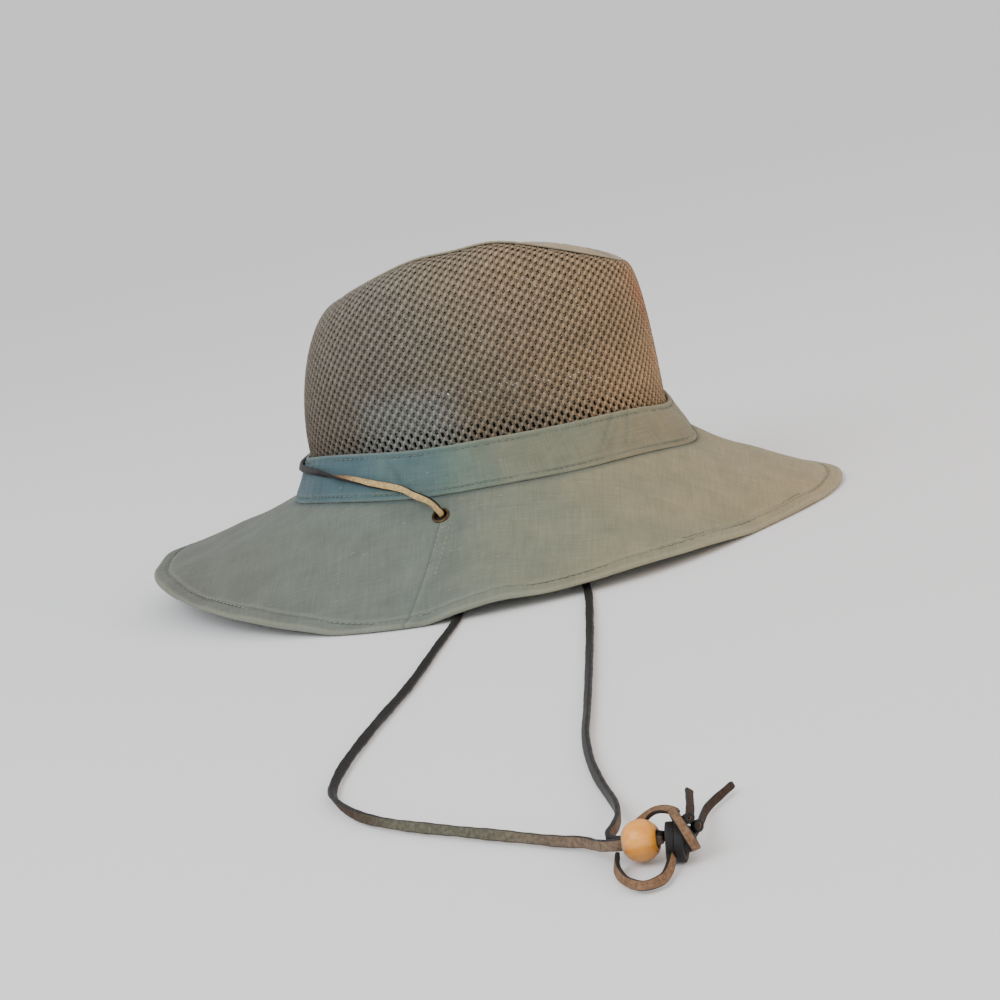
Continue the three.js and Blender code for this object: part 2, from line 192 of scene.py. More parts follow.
def mottle(tree, place, per_metre, detail=2.0, rough=0.55):
    """Uneven patches, 0 to 1, so many to the metre: one number, or three along the axes."""
    count = per_metre if isinstance(per_metre, tuple) else (per_metre,) * 3
    scaled = add_node(tree, "ShaderNodeMapping", {"Vector": place, "Scale": count})
    inputs = {"Vector": scaled, "Scale": 1.0, "Detail": detail, "Roughness": rough}
    return add_node(tree, "ShaderNodeTexNoise", inputs)


def stirred(tree, value, patches, amount):
    """A value moved up and down by patches, by half the amount each way."""
    middle = add_node(tree, "ShaderNodeMath", {0: patches, 1: 0.5}, operation="SUBTRACT")
    return add_node(tree, "ShaderNodeMath", {0: middle, 1: amount, 2: value}, operation="MULTIPLY_ADD")


def where_all(tree, first, *others):
    """One mask that is 1 only where every one of them is."""
    for other in others:
        first = add_node(tree, "ShaderNodeMath", {0: first, 1: other}, operation="MULTIPLY")
    return first


def tint(tree, colour, mask, strength, other):
    """The colour drawn towards another one, a hex colour or a node's, where a mask is."""
    other = linear(other) if isinstance(other, str) else other
    share = where_all(tree, mask, strength)
    return add_node(tree, "ShaderNodeMix", {0: share, 6: colour, 7: other}, data_type="RGBA")


def shade_by(tree, colour, value, low, high):
    """The colour times low where value is 0, rising to times high where it is 1."""
    gain = add_node(tree, "ShaderNodeMapRange", {"Value": value, "To Min": low, "To Max": high})
    grey = add_node(tree, "ShaderNodeCombineColor", {"Red": gain, "Green": gain, "Blue": gain})
    inputs = {0: 1.0, 6: colour, 7: grey}
    return add_node(tree, "ShaderNodeMix", inputs, data_type="RGBA", blend_type="MULTIPLY")


# Washed cotton canvas: a matt, chalky cloth with thin uneven threads that show as fine streaks both
# ways. Its colour along the hat holds painted light, cool at the back and warm on the front. The
# attribute wear is 1 on rubbed ridges; the other is painted shade, 1 in seams, grooves and by folds.
def washed_canvas(name, colour_and_light, on_strip=False):
    material, tree, place = started(name)
    grain = add_node(tree, "ShaderNodeUVMap", uv_map="cloth") if on_strip else place
    # The colour's drift with painted light is in patches of 60 mm and the rubbing of 14 mm. Slubs are 1 mm
    # thick and 5 mm long.
    drift = stirred(tree, across(tree, place, -0.18, 0.18), mottle(tree, place, 17, 3.0), 0.42)
    colour = add_node(tree, "ShaderNodeValToRGB", {"Fac": drift}, colour_and_light)
    # Threads are about 0.45 mm apart; they are drawn 1 mm apart, in 16 mm streaks, so that they show.
    fine, long = 1000 / 1.0, 1000 / 16.0
    warp = mottle(tree, grain, (fine, long, long), 2.0, 0.6)
    weft = mottle(tree, grain, (long, fine, long), 2.0, 0.6)
    weave = add_node(tree, "ShaderNodeMix", {0: 0.5, 2: warp, 3: weft})
    colour = shade_by(tree, colour, weave, 0.62, 1.38)
    colour = shade_by(tree, colour, mottle(tree, place, 70, 4.0, 0.6), 0.8, 1.2)
    slub = {0: mottle(tree, grain, (210, 1100, 210), 1.0), 1: 0.755}
    slub = add_node(tree, "ShaderNodeMath", slub, operation="GREATER_THAN")
    colour = tint(tree, colour, slub, 0.4, "#b3b09a")
    # wear lightens rubbed ridges; the second field is painted shade, dark blue-grey in seams, grooves and by
    # folds.
    for field, strength, other in (("wear", 0.4, "#a09f8b"), ("painted_shade", 0.8, "#35474c")):
        mask = add_node(tree, "ShaderNodeAttribute", attribute_name=field).outputs["Fac"]
        colour = tint(tree, colour, mask, strength, other)
    surface = {"Base Color": colour, "Roughness": 0.92, "Specular IOR Level": 0.25, "Sheen Weight": 0.12}
    return finished(material, surface, weave, 0.5, 0.0009)


# Warp-knitted cotton yarn: soft, matt, slightly hairy cords whose plies show as fine flecks. It is
# bluish and dark low at the back, sandy above and rust-coloured at the very front: the yarn's colour
# with painted light, cool at the back and warm on the front, and painted shade low on the wall.
def knit_yarn(name, gain):
    material, tree, place = started(name)
    cloud = mottle(tree, place, 24, 3.0)
    drift = stirred(tree, across(tree, place, -0.09, 0.115), cloud, 0.4)
    colour_and_light = [(0.0, "#66594c"), (0.3, "#6d685d"), (0.55, "#7b6f5c"), (0.9, "#917758"), (1.0, "#9d6d51")]
    colour = add_node(tree, "ShaderNodeValToRGB", {"Fac": drift}, colour_and_light)
    # Painted shade and light: darker low on the wall, lighter high, and lighter again low at the front.
    colour = shade_by(tree, colour, across(tree, place, 0.062, 0.15, "Z"), 0.85, 1.3)
    front, low = across(tree, place, 0.03, 0.09), across(tree, place, 0.1, 0.075, "Z")
    colour = shade_by(tree, colour, where_all(tree, front, low), 1.0, 1.42)
    # A patch low on the near side is drawn towards blue-grey.
    sides = across(tree, place, -0.05, -0.03), across(tree, place, 0.015, -0.005)
    below = across(tree, place, 0.098, 0.084, "Z")
    patchy = add_node(tree, "ShaderNodeMath", {0: cloud, 1: 0.1}, operation="ADD")
    colour = tint(tree, colour, where_all(tree, *sides, below, patchy), 1.0, "#7b7f7b")
    fleck = mottle(tree, place, 900)
    # gain paints brightness: the strands get painted shade and the tie loops painted light.
    colour = shade_by(tree, colour, fleck, 0.65 * gain, 1.35 * gain)
    colour = shade_by(tree, colour, mottle(tree, place, 180), 0.8, 1.2)
    surface = {"Base Color": colour, "Roughness": 0.85, "Specular IOR Level": 0.3, "Sheen Weight": 0.1}
    return finished(material, surface, fleck, 0.4, 0.0003)


# Flat-cut leather lace: one face and the cut edges are dark, dyed and a little shiny, the other face
# is suede with a short nap. The attribute face is 1 on the smooth side and 0 on the suede; tone picks
# the suede's colour, from dark brown at 0 by olive grey and brown to pale sand at 1.
SUEDE = [
    (0.0, "#36271f"),
    (0.12, "#45372b"),
    (0.28, "#595749"),
    (0.4, "#68594a"),
    (0.5, "#7a5d45"),
    (1.0, "#bda06e"),
]
SMOOTH = [(0.3, "#12100f"), (0.6, "#1b1918"), (0.8, "#2a2a2c")]


def leather_lace():
    material, tree, place = started("leather_lace")
    fields = (add_node(tree, "ShaderNodeAttribute", attribute_name=field) for field in ("tone", "face"))
    tone, face = (field.outputs["Fac"] for field in fields)
    nap = mottle(tree, place, 700, 3.0, 0.7)
    stain = mottle(tree, add_node(tree, "ShaderNodeUVMap", uv_map="lace"), (60, 35, 60))
    grain = add_node(tree, "ShaderNodeMapRange", {"Value": nap, "From Min": 0.36, "From Max": 0.64})
    suede = add_node(tree, "ShaderNodeValToRGB", {"Fac": tone}, SUEDE)
    suede = shade_by(tree, shade_by(tree, suede, grain, 0.68, 1.32), stain, 0.75, 1.25)
    smooth = add_node(tree, "ShaderNodeValToRGB", {"Fac": stain}, SMOOTH)
    smooth = shade_by(tree, smooth, nap, 0.85, 1.15)
    rub = stirred(tree, face, nap, 0.5)
    mask = add_node(tree, "ShaderNodeMapRange", {"Value": rub, "From Min": 0.35, "From Max": 0.65})
    surface = {
        "Base Color": tint(tree, suede, mask, 1.0, smooth),
        "Roughness": add_node(tree, "ShaderNodeMapRange", {"Value": mask, "To Min": 0.92, "To Max": 0.55}),
        "Specular IOR Level": 0.32,
    }
    return finished(material, surface, nap, 0.6, 0.0004)


# Turned beech under clear lacquer: even honey-coloured wood with faint grain and a sharp highlight, with
# painted shade on its underside and a grey-brown left end round the bore, painted shade and reflection.
def lacquered_beech():
    material, tree, place = started("lacquered_beech")
    rings = mottle(tree, place, (90, 520, 520), 2.0, 0.5)
    honey = [(0.3, "#dd8a28"), (0.5, "#ea9831"), (0.7, "#f0a43d")]
    colour = add_node(tree, "ShaderNodeValToRGB", {"Fac": rings}, honey)
    colour = shade_by(tree, colour, mottle(tree, place, (400, 2200, 2200)), 0.93, 1.07)
    # Painted shade: the bead darker towards its underside.
    colour = shade_by(tree, colour, across(tree, place, 0.0005, 0.0085, "Z"), 0.48, 1.08)
    # Painted shade and reflection: the left end drawn towards grey-brown.
    centre = BEAD["centre"][0] * MM
    colour = tint(tree, colour, across(tree, place, centre - 0.0035, centre - 0.0062), 1.0, "#8d7a60")
    surface = {"Base Color": colour, "Roughness": 0.42, "Coat Weight": 0.4, "Coat Roughness": 0.07}
    return finished(material, surface, rings, 0.08, 0.0002)


# Antiqued brass: dark brown metal, rubbed brighter in places.
def antique_brass():
    material, tree, place = started("antique_brass")
    rub = mottle(tree, place, 450, 3.0, 0.65)
    patina = [(0.35, "#3a2f25"), (0.6, "#6d5639"), (0.8, "#a58a63")]
    surface = {
        "Base Color": add_node(tree, "ShaderNodeValToRGB", {"Fac": rub}, patina),
        "Metallic": 0.9,
        "Roughness": add_node(tree, "ShaderNodeMapRange", {"Value": rub, "To Min": 0.6, "To Max": 0.32}),
    }
    return finished(material, surface)


# Spun sewing thread: close to the canvas in colour, its twist showing as fine flecks.
def sewing_thread(name, colour):
    material, tree, place = started(name)
    twist = mottle(tree, place, 1500, 1.0)
    colour = shade_by(tree, linear(colour), twist, 0.75, 1.25)
    return finished(material, {"Base Color": colour, "Roughness": 0.7})


# ---------------------------------------------------------------- the hat's curves, as in the frame

GAP = 0.3
SQUARENESS = 2.15
BASE = dict(half_x=104, half_y=83, centre_x=7)
BAND_TOP = dict(half_x=94, half_y=73, centre_x=7)
RIM = dict(half_x=71.5, half_y=38, centre_x=19.5)
STATIONS = [
    dict(seam=33.5, edge=1.5, reach=179, top=128),
    dict(seam=38, edge=-1.2, reach=165, top=134),
    dict(seam=41.5, edge=3.5, reach=159, top=142.5),
    dict(seam=42.5, edge=4.5, reach=157, top=147),
    dict(seam=43, edge=2.5, reach=155.5, top=146.5),
    dict(seam=43.5, edge=1.5, reach=156, top=146.5),
    dict(seam=45, edge=8, reach=159.5, top=145),
    dict(seam=43, edge=14, reach=170, top=139.5),
    dict(seam=40, edge=17, reach=179, top=136),
]
EDGE_WAVES = [
    dict(at=102, half_width=11, height=-3.2),
    dict(at=258, half_width=11, height=-3.2),
    dict(at=277, half_width=7, height=2),
]
WALL_DENTS = [
    dict(at=250, share=0.45, half_width=17, half_share=0.24, depth=3),
    dict(at=305, share=0.6, half_width=14, half_share=0.2, depth=2),
    dict(at=95, share=0.5, half_width=20, half_share=0.25, depth=2.5),
]
BRIM = dict(wall=2.0, lip=2.2, flare=1.25, hem=7.0)
BAND = dict(height=21.5, wall=2.0, over_mesh=6.0, low_stitch=2.8, top_stitch=19.3, girth=580, strip=22)
MESH = dict(wall=1.6, lean=5, shoulder=0.5, full_front=0.45, clearance=0.1)
TOP = dict(wall=1.6, seat=0.5, overhang=0.8, crest=1.0, dent_depth=14.0, dent_half_width=16.0)
HOLE = dict(at=261.5, share=0.135, cut=3.5, cut_depth=12)
LACE = dict(wide=3.6, thick=1.7, girth=11)
BEAD = dict(radius=6.2, bore=3.0, centre=(104.4, -463.8, 6.6), axis=(0.995, -0.1, 0))
KNOT_CENTRE = (116.8, -466.6, 6.5)


def ring(size, angle, inset=0.0):
    """A rounded ring between an ellipse and a rectangle."""
    c, s = np.cos(angle), np.sin(angle)
    share_x = np.abs(c / (size["half_x"] - inset)) ** SQUARENESS
    share_y = np.abs(s / (size["half_y"] - inset)) ** SQUARENESS
    radius = (share_x + share_y) ** (-1 / SQUARENESS)
    return size["centre_x"] + radius * c, radius * s


def around(column):
    """A smooth function of the angle through one column of STATIONS: a sum of cosines."""
    heights = np.array([station[column] for station in STATIONS], float)
    last = len(heights) - 1
    weight = np.ones(last + 1)
    weight[[0, last]] = 0.5
    place = np.arange(last + 1)
    waves = np.cos(np.pi * np.outer(place, place) / last)
    sizes = [2 / last * weight[k] * np.sum(weight * heights * waves[k]) for k in place]
    return lambda angle: sum(size * np.cos(k * angle) for k, size in enumerate(sizes))


seam, plain_edge, reach, crown_top_height = (around(column) for column in ("seam", "edge", "reach", "top"))


def bell(value):
    return np.exp(-value * value)


def degrees_between(angle, at):
    turn = np.degrees(angle) - at
    return turn - 360 * np.round(turn / 360)


def edge(angle):
    waves = (w["height"] * bell(degrees_between(angle, w["at"]) / w["half_width"]) for w in EDGE_WAVES)
    return plain_edge(angle) + sum(waves)


def bezier(a, b, c, d, t):
    return a * (1 - t) ** 3 + 3 * b * t * (1 - t) ** 2 + 3 * c * t * t * (1 - t) + d * t**3


def points(x, y, z):
    return np.stack(np.broadcast_arrays(x, y, z), -1).astype(float)


def brim_top(angle, share):
    out = np.maximum(share, 0)
    inner_x, inner_y = ring(BASE, angle, BRIM["lip"] * np.maximum(-share, 0))
    outer_x, outer_y = reach(angle) * np.cos(angle), reach(angle) * np.sin(angle)
    low = edge(angle) + BRIM["wall"]
    height = low + (seam(angle) - GAP - low) * (1 - np.minimum(out, 1)) ** BRIM["flare"]
    x = inner_x + (outer_x - inner_x) * out
    y = inner_y + (outer_y - inner_y) * out
    return points(x, y, np.maximum(height, BRIM["wall"]))


def brim_width(angle):
    x, y = ring(BASE, angle)
    return np.hypot(reach(angle) * np.cos(angle) - x, reach(angle) * np.sin(angle) - y)


def band_outside(angle, share, inset=0.0):
    low_x, low_y = ring(BASE, angle, inset)
    high_x, high_y = ring(BAND_TOP, angle, inset)
    height = seam(angle) + BAND["height"] * share
    return points(low_x + (high_x - low_x) * share, low_y + (high_y - low_y) * share, height)


def wall_dent(angle, share):
    return sum(
        d["depth"]
        * bell(degrees_between(angle, d["at"]) / d["half_width"])
        * bell((share - d["share"]) / d["half_share"])
        for d in WALL_DENTS
    )


def mesh_outside(angle, share):
    """The net's surface: share -1 to 0 is the stretch inside the band, 0 to 1 rises to the top edge."""
    inset = BAND["wall"] + GAP + MESH["clearance"]
    tucked = band_outside(angle, 1 + np.minimum(share, 0) * BAND["over_mesh"] / BAND["height"], inset)
    up = np.maximum(share, 0)
    rim_x, rim_y = ring(RIM, angle)
    shoulder = MESH["shoulder"] - MESH["full_front"] * ((1 + np.cos(angle)) / 2) ** 3
    inwards = bezier(0, 0, shoulder, 1, up)
    rim_height = crown_top_height(angle) - MESH["lean"] * np.sin(angle)
    rise = bezier(0, 0.5, 1, 1, up)
    x = tucked[..., 0] + (rim_x - tucked[..., 0]) * inwards
    y = tucked[..., 1] + (rim_y - tucked[..., 1]) * inwards
    z = tucked[..., 2] + (rim_height - tucked[..., 2]) * rise
    dent = wall_dent(angle, up) * np.sin(np.pi * up)
    far = np.hypot(x - BASE["centre_x"], y)
    return points(x - dent * (x - BASE["centre_x"]) / far, y - dent * y / far, z)


def top_underside(angle, share):
    rim_x, rim_y = ring(RIM, angle, -TOP["overhang"])
    x = RIM["centre_x"] + (rim_x - RIM["centre_x"]) * share
    y = rim_y * share
    ridge = crown_top_height(math.pi / 2) + TOP["crest"]
    rim_height = mesh_outside(angle, 1.0)[..., 2] + TOP["seat"]
    dent = TOP["dent_depth"] * bell(y / TOP["dent_half_width"]) * (1 - share**4)
    return points(x, y, ridge + (rim_height - ridge) * share**2 - dent)


# ---------------------------------------------------------------- small unevenness, the same each run

chance = np.random.default_rng(7)


def ripple(angle, counts):
    """A closed wave round the hat, about -1 to 1, of several whole counts."""
    total = sum(np.sin(count * angle + chance.uniform(0, 6.283)) for count in counts)
    return total / math.sqrt(len(counts))


def clouds(x, y, size, layers=7):
    """Soft hills over the plane, about -1 to 1, of one size in millimetres."""
    total = 0
    for _ in range(layers):
        way = chance.uniform(0, 6.283)
        pitch = 6.283 / (size * chance.uniform(0.75, 1.4))
        total = total + np.sin((x * math.cos(way) + y * math.sin(way)) * pitch + chance.uniform(0, 6.283))
    return total / math.sqrt(layers)


def tucks(angle, count, drift, drift_waves, swell, swell_waves):
    """Small tucks round the hat, about -1 to 1, that drift sideways and swell here and there."""
    wave = np.sin(count * angle + drift * ripple(angle, drift_waves))
    return wave * (1 - swell + swell * ripple(angle, swell_waves))


def step_up(value, low, high):
    """A smooth step from 0 below low to 1 above high."""
    t = np.clip((value - low) / (high - low), 0, 1)
    return t * t * (3 - 2 * t)

# ---------------------------------------------------------------- building meshes


def new_object(name, mesh, material, nodes=()):
    piece = placed(name, mesh)
    mesh.materials.clear()
    mesh.materials.append(material)
    mesh.shade_smooth()
    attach(piece, "root")
    if nodes:
        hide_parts(*nodes)
    return piece


def evaluated_mesh(piece):
    """A piece with its modifiers, as a plain mesh."""
    bpy.context.view_layer.update()
    return bpy.data.meshes.new_from_object(piece.evaluated_get(bpy.context.evaluated_depsgraph_get()))


def add_field(mesh, name, values):
    layer = mesh.attributes.new(name, "FLOAT", "POINT")
    layer.data.foreach_set("value", np.asarray(values, float).ravel())


def grid_mesh(name, grid, closed=True):
    """A skin through rings of places in millimetres: a loop of rings, or a tube with both ends closed."""
    rings, count = grid.shape[:2]
    index = np.arange(rings * count).reshape(rings, count)
    below, above = (index, np.roll(index, -1, 0)) if closed else (index[:-1], index[1:])
    quads = np.stack([below, np.roll(below, -1, 1), np.roll(above, -1, 1), above], -1).reshape(-1, 4).tolist()
    if not closed:
        quads += [tuple(index[0][::-1]), tuple(index[-1])]
    mesh = bpy.data.meshes.new(name)
    mesh.from_pydata((grid.reshape(-1, 3) * MM).tolist(), [], quads)
    return mesh


def reworked(mesh, operation, parts, **settings):
    """A mesh after one bmesh operation on all its verts or faces."""
    work = bmesh.new()
    work.from_mesh(mesh)
    operation(work, **{parts: getattr(work, parts)}, **settings)
    work.to_mesh(mesh)
    work.free()
    return mesh


def cloth_mesh(name, point, wear, painted_shade):
    mesh = grid_mesh(name, point)
    for field, values in (("wear", wear), ("painted_shade", painted_shade)):
        add_field(mesh, field, np.broadcast_to(values, point.shape[:2]))
    return mesh


def normals_of(surface, angle, share, step=1e-3):
    """The outward unit normal of a surface function, by small differences."""
    along = surface(angle + step, share) - surface(angle - step, share)
    up = surface(angle, share + step) - surface(angle, share - step)
    normal = np.cross(along, up)
    return normal / np.linalg.norm(normal, axis=-1, keepdims=True)


AROUND = 768
ANGLES = np.arange(AROUND) * 2 * np.pi / AROUND


# ---------------------------------------------------------------- brim

SEAM_ANGLES = (HOLE["at"], 360 - HOLE["at"])
SIDE_SEAM_FROM = 0.17


def from_side_seam(angle, point):
    """Millimetres round the brim from the nearer of the two side seams, signed."""
    radius = np.hypot(point[..., 0], point[..., 1])
    turns = [degrees_between(angle, at) for at in SEAM_ANGLES]
    nearest = np.where(np.abs(turns[0]) < np.abs(turns[1]), turns[0], turns[1])
    return np.radians(nearest) * radius


def brim_relief(angle, share, from_edge, point):
    """How far the brim's top stands out of its plain surface, with its wear and its painted shade."""
    x, y = point[..., 0], point[..., 1]
    out = np.clip(share, 0, 1)
    hem = BRIM["hem"]
    puckers = tucks(angle, 128, 2.2, (5, 9, 14, 23), 0.35, (17, 29))
    at_hem = bell((from_edge - hem) / 0.75)
    lift = -0.5 * at_hem + 0.28 * step_up(hem - from_edge, -0.2, 1.0)
    lift = lift + 0.2 * puckers * bell((from_edge - hem) / 3.2)
    gathers = tucks(angle, 96, 2.5, (4, 7, 11), 0.5, (13, 19))
    lift = lift + 0.28 * gathers * np.exp(-out * 9) * step_up(out, 0, 0.03)
    lift = lift + (0.75 * clouds(x, y, 70) + 0.3 * clouds(x, y, 28)) * step_up(out, 0.02, 0.5)
    # The flat-felled side seam from each lace hole to the edge.
    side = from_side_seam(angle, point)
    along = step_up(out, SIDE_SEAM_FROM, SIDE_SEAM_FROM + 0.04)
    fell = step_up(side, -0.5, 0.4) * step_up(-side, -7.5, -6.0)
    crease = bell(side / 0.7)
    lift = lift + along * (0.35 * fell - 0.55 * crease)
    lift = lift + along * 0.16 * np.sin(from_edge / 1.35) * bell((side - 2.5) / 4)
    # Painted shade: in the hem's groove, in the side seam's crease and broadly beside it, where the brim
    # meets the band, and in a patch near the band on the other side of the seam.
    painted_shade = 0.3 * at_hem + 0.45 * along * crease + 0.7 * bell(out / 0.02)
    painted_shade = painted_shade + 0.22 * along * bell((side - 9) / 10)
    painted_shade = painted_shade + 0.3 * bell((out - 0.06) / 0.1) * bell((side + 14) / 24)
    wear = 0.8 * bell((from_edge - 0.6) / 1.2) + 0.45 * bell((from_edge - hem - 1.6) / 0.8)
    wear = wear + 0.35 * along * bell((side - 1.6) / 1.0)
    return lift, np.clip(wear, 0, 1), np.clip(painted_shade, 0, 1)


def brim_section():
    """Rows of the brim's section: a share of the width or millimetres from the edge, 1 on top to -1 under."""
    wide = [("share", s, 1) for s in (-1, -0.5, 0, 0.008, 0.02, *np.linspace(0.04, 0.86, 34))]
    hem = [8.6, 8.2, 7.9, 7.6, 7.3, 7.0, 6.7, 6.4, 6.1, 5.6, 4.8, 4.0, 3.1, 2.2, 1.5, 1.0]
    top = [("edge", mm, 1) for mm in hem]
    fold = [("edge", 1 - math.cos(a), math.sin(a)) for a in np.radians([65, 40, 15, -15, -40, -65])]
    under = [("edge", mm, -1) for mm in (1.0, 2.2, 4.0, 6.0, 6.7, 7.0, 7.3, 8.0)]
    back = [("share", s, -1) for s in (*np.linspace(0.88, 0.0, 24), -0.5, -1)]
    return wide + top + fold + under + back


def make_brim(material):
    width = brim_width(ANGLES)
    section = brim_section()
    share = np.stack(
        [np.full(AROUND, value) if kind == "share" else 1 - value / width for kind, value, level in section]
    )
    level = np.array([row[2] for row in section])[:, None]
    angle = np.broadcast_to(ANGLES, share.shape)
    point = brim_top(angle, share)
    lift, wear, painted_shade = brim_relief(angle, share, (1 - share) * width, point)
    point[..., 2] += (level - 1) * BRIM["wall"] / 2 + lift * np.where(level > 0, 1, 0.35)
    # Cloth rests on the surface: nothing of the underside goes below it.
    point[..., 2] = np.maximum(point[..., 2], 0.05 + BRIM["wall"] * (level + 1) / 2)
    mesh = cloth_mesh("brim_cloth", point[::-1], wear[::-1], painted_shade[::-1])
    return new_object("brim_cloth", mesh, material, ["brim"])


def hole_frame(side):
    """A lace hole's middle on the brim's mid-surface and the upward normal there."""
    angle, share = np.array(math.radians(HOLE["at"]) * side), np.array(HOLE["share"])
    normal = normals_of(brim_top, angle, share)
    return brim_top(angle, share) - np.array([0, 0, BRIM["wall"] / 2]), normal * np.sign(normal[2])


def cut_lace_holes(piece):
    """Opens the two lace holes through the brim with an exact boolean."""
    for side in (1, -1):
        middle, normal = hole_frame(side)
        radius, depth = HOLE["cut"] * MM, HOLE["cut_depth"] * MM
        bpy.ops.mesh.primitive_cylinder_add(vertices=32, radius=radius, depth=depth)
        punch = bpy.context.object
        turn = Vector((0, 0, 1)).rotation_difference(Vector(normal)).to_matrix().to_4x4()
        punch.matrix_world = Matrix.Translation(Vector(middle) * MM) @ turn
        cut = piece.modifiers.new("hole", "BOOLEAN")
        cut.operation = "DIFFERENCE"
        cut.solver = "EXACT"
        cut.object = punch
        mesh = evaluated_mesh(piece)
        piece.modifiers.remove(cut)
        piece.data = mesh
        bpy.data.objects.remove(punch)
    piece.data.shade_smooth()


# ---------------------------------------------------------------- band


def band_relief(angle, share, point):
    up = share * BAND["height"]
    x = point[..., 0]
    top_line, low_line = (bell((up - BAND[line]) / 0.6) for line in ("top_stitch", "low_stitch"))
    gathers = tucks(angle, 78, 2.4, (5, 8, 13), 0.4, (11, 17))
    lift = -0.3 * top_line - 0.3 * low_line
    lift = lift + 0.24 * gathers * (bell((up - 17.5) / 4.5) + 0.8 * bell((up - 4) / 4))
    # A degree is about 1.6 mm round the band.
    along = np.degrees(angle) * 1.6
    lift = lift + 0.35 * clouds(along, up, 34) + 0.15 * clouds(along, up, 13)
    # Slanting folds, most of them near the front, where the band bends round.
    # Each fold also gets painted shade along one side of it.
    fold_shade = 0
    for at, lean, height in ((318, 1.1, 0.9), (326, 0.8, 0.7), (300, 1.6, 0.45), (246, -0.9, 0.6)):
        line = degrees_between(angle, at) * 1.65 - lean * (up - 11)
        lift = lift + height * bell(line / 2.6) * step_up(up, 3, 9) * step_up(21 - up, 0.5, 5)
        fold_shade = fold_shade + 0.35 * height * bell((line + 3.0) / 1.6) * step_up(up, 3, 9)
    wear = 0.6 * step_up(up, 20.4, 21.3) + 0.65 * step_up(-up, -1.6, -0.4)
    wear = wear + 0.3 * bell((up - 3.8) / 0.6)
    # Painted shade in the stitch grooves and by the folds, and darker towards the back round the middle of
    # the band.
    painted_shade = 0.25 * top_line + 0.2 * low_line + fold_shade
    painted_shade = painted_shade + 0.25 * step_up(-x, -20, 80) * bell((up - 10) / 9)
    return lift, np.clip(wear, 0, 1), np.clip(painted_shade, 0, 1)


def make_band(material):
    wall, height = BAND["wall"], BAND["height"]
    round_end = np.radians([75, 50, 25, 0, -25, -50, -75])
    # Each row of the section: share of the height, millimetres inwards and upwards from there.
    outside = [0.9, 1.4, 2.0, 2.4, 2.8, 3.2, 3.7, 4.4, *np.linspace(5.2, 17.6, 15)]
    outside += [18.2, 18.7, 19.1, 19.4, 19.7, 20.1, 20.6]
    section = [(up / height, 0.0, 0.0) for up in outside]
    section += [((height - 0.9) / height, 1 - math.sin(a), 0.9 * math.cos(a)) for a in round_end]
    section += [(up / height, wall, 0.0) for up in (20.6, 17, 13, 9, 5, 0.9)]
    section += [(0.9 / height, 1 + math.sin(a), -(0.9 + GAP) * math.cos(a)) for a in round_end]
    share, inset, rise = np.array(section).T[..., None]
    angle = np.broadcast_to(ANGLES, (len(section), AROUND))
    point = band_outside(angle, share, inset)
    point[..., 2] += rise
    lift, wear, painted_shade = band_relief(angle, share + rise / height, point)
    normal = normals_of(band_outside, angle, np.broadcast_to(share, angle.shape))
    point = point + normal * (lift * step_up(-inset, -1.6, -0.2))[..., None]
    mesh = cloth_mesh("band_cloth", point, wear, painted_shade)
    # The UV map runs round and up the strip, in metres.
    size = (len(section), AROUND + 1)
    loop = np.broadcast_to(np.arange(AROUND + 1) * (BAND["girth"] * MM / AROUND), size)
    climb = np.broadcast_to(share * (BAND["strip"] * MM), size)
    corners = [
        np.stack([low[:, :-1], low[:, 1:], high[:, 1:], high[:, :-1]], -1)
        for low, high in ((values, np.roll(values, -1, 0)) for values in (loop, climb))
    ]
    mesh.uv_layers.new(name="cloth").data.foreach_set("uv", np.stack(corners, -1).ravel())
    return new_object("band_cloth", mesh, material, ["hatband"])


# ---------------------------------------------------------------- crown top


def top_relief(angle, share, point):
    x, y = point[..., 0], point[..., 1]
    lift = 0.5 * clouds(x, y, 45) + 0.2 * clouds(x, y, 16)
    lift = lift * step_up(1 - share, 0, 0.2)
    near_rim = (1 - share) * 45
    gathers = np.sin(74 * angle + 2.5 * ripple(angle, (5, 9, 12)))
    lift = lift - 0.35 * bell((near_rim - 2.4) / 0.6) + 0.18 * gathers * bell((near_rim - 4) / 3.5)
    wear = 0.7 * bell(near_rim / 1.2)
    # Painted shade in the groove near the rim.
    painted_shade = 0.55 * bell((near_rim - 2.4) / 0.7)
    return lift, np.clip(wear, 0, 1), np.clip(painted_shade, 0, 1)


def make_crown_top(material):
    count = 384
    angles = np.arange(count) * 2 * np.pi / count
    outward = np.concatenate([np.linspace(0, 0.9, 26), [0.915, 0.93, 0.945, 0.96, 0.975, 0.987]])
    edge_turn = np.radians([-70, -40, -10, 20, 50, 75])
    rows = [(s, 0.0) for s in outward]
    rows += [(0.987 + 0.016 * math.cos(a), 0.65 + 0.65 * math.sin(a)) for a in edge_turn]
    rows += [(s, TOP["wall"] - 0.3 * step_up(s, 0.85, 0.98)) for s in outward[::-1]]
    share, rise = np.array(rows).T[..., None]
    angle = np.broadcast_to(angles, (len(rows), count))
    # The cloth's edge stays just inside the net's shoulder and touches it.
    point = top_underside(angle, np.broadcast_to(share * 0.985, angle.shape))
    point[..., 2] -= 0.7 * TOP["seat"]
    lift, wear, painted_shade = top_relief(angle, share, point)
    point[..., 2] += rise + lift * np.where(rise > 0.65, 1, 0.6)
    mesh = cloth_mesh("crown_top_cloth", point, wear, painted_shade)
    reworked(mesh, bmesh.ops.remove_doubles, "verts", dist=1e-7)
    return new_object("crown_top_cloth", mesh, material, ["crown_top"])


# ---------------------------------------------------------------- geometry nodes: yarn and stitches


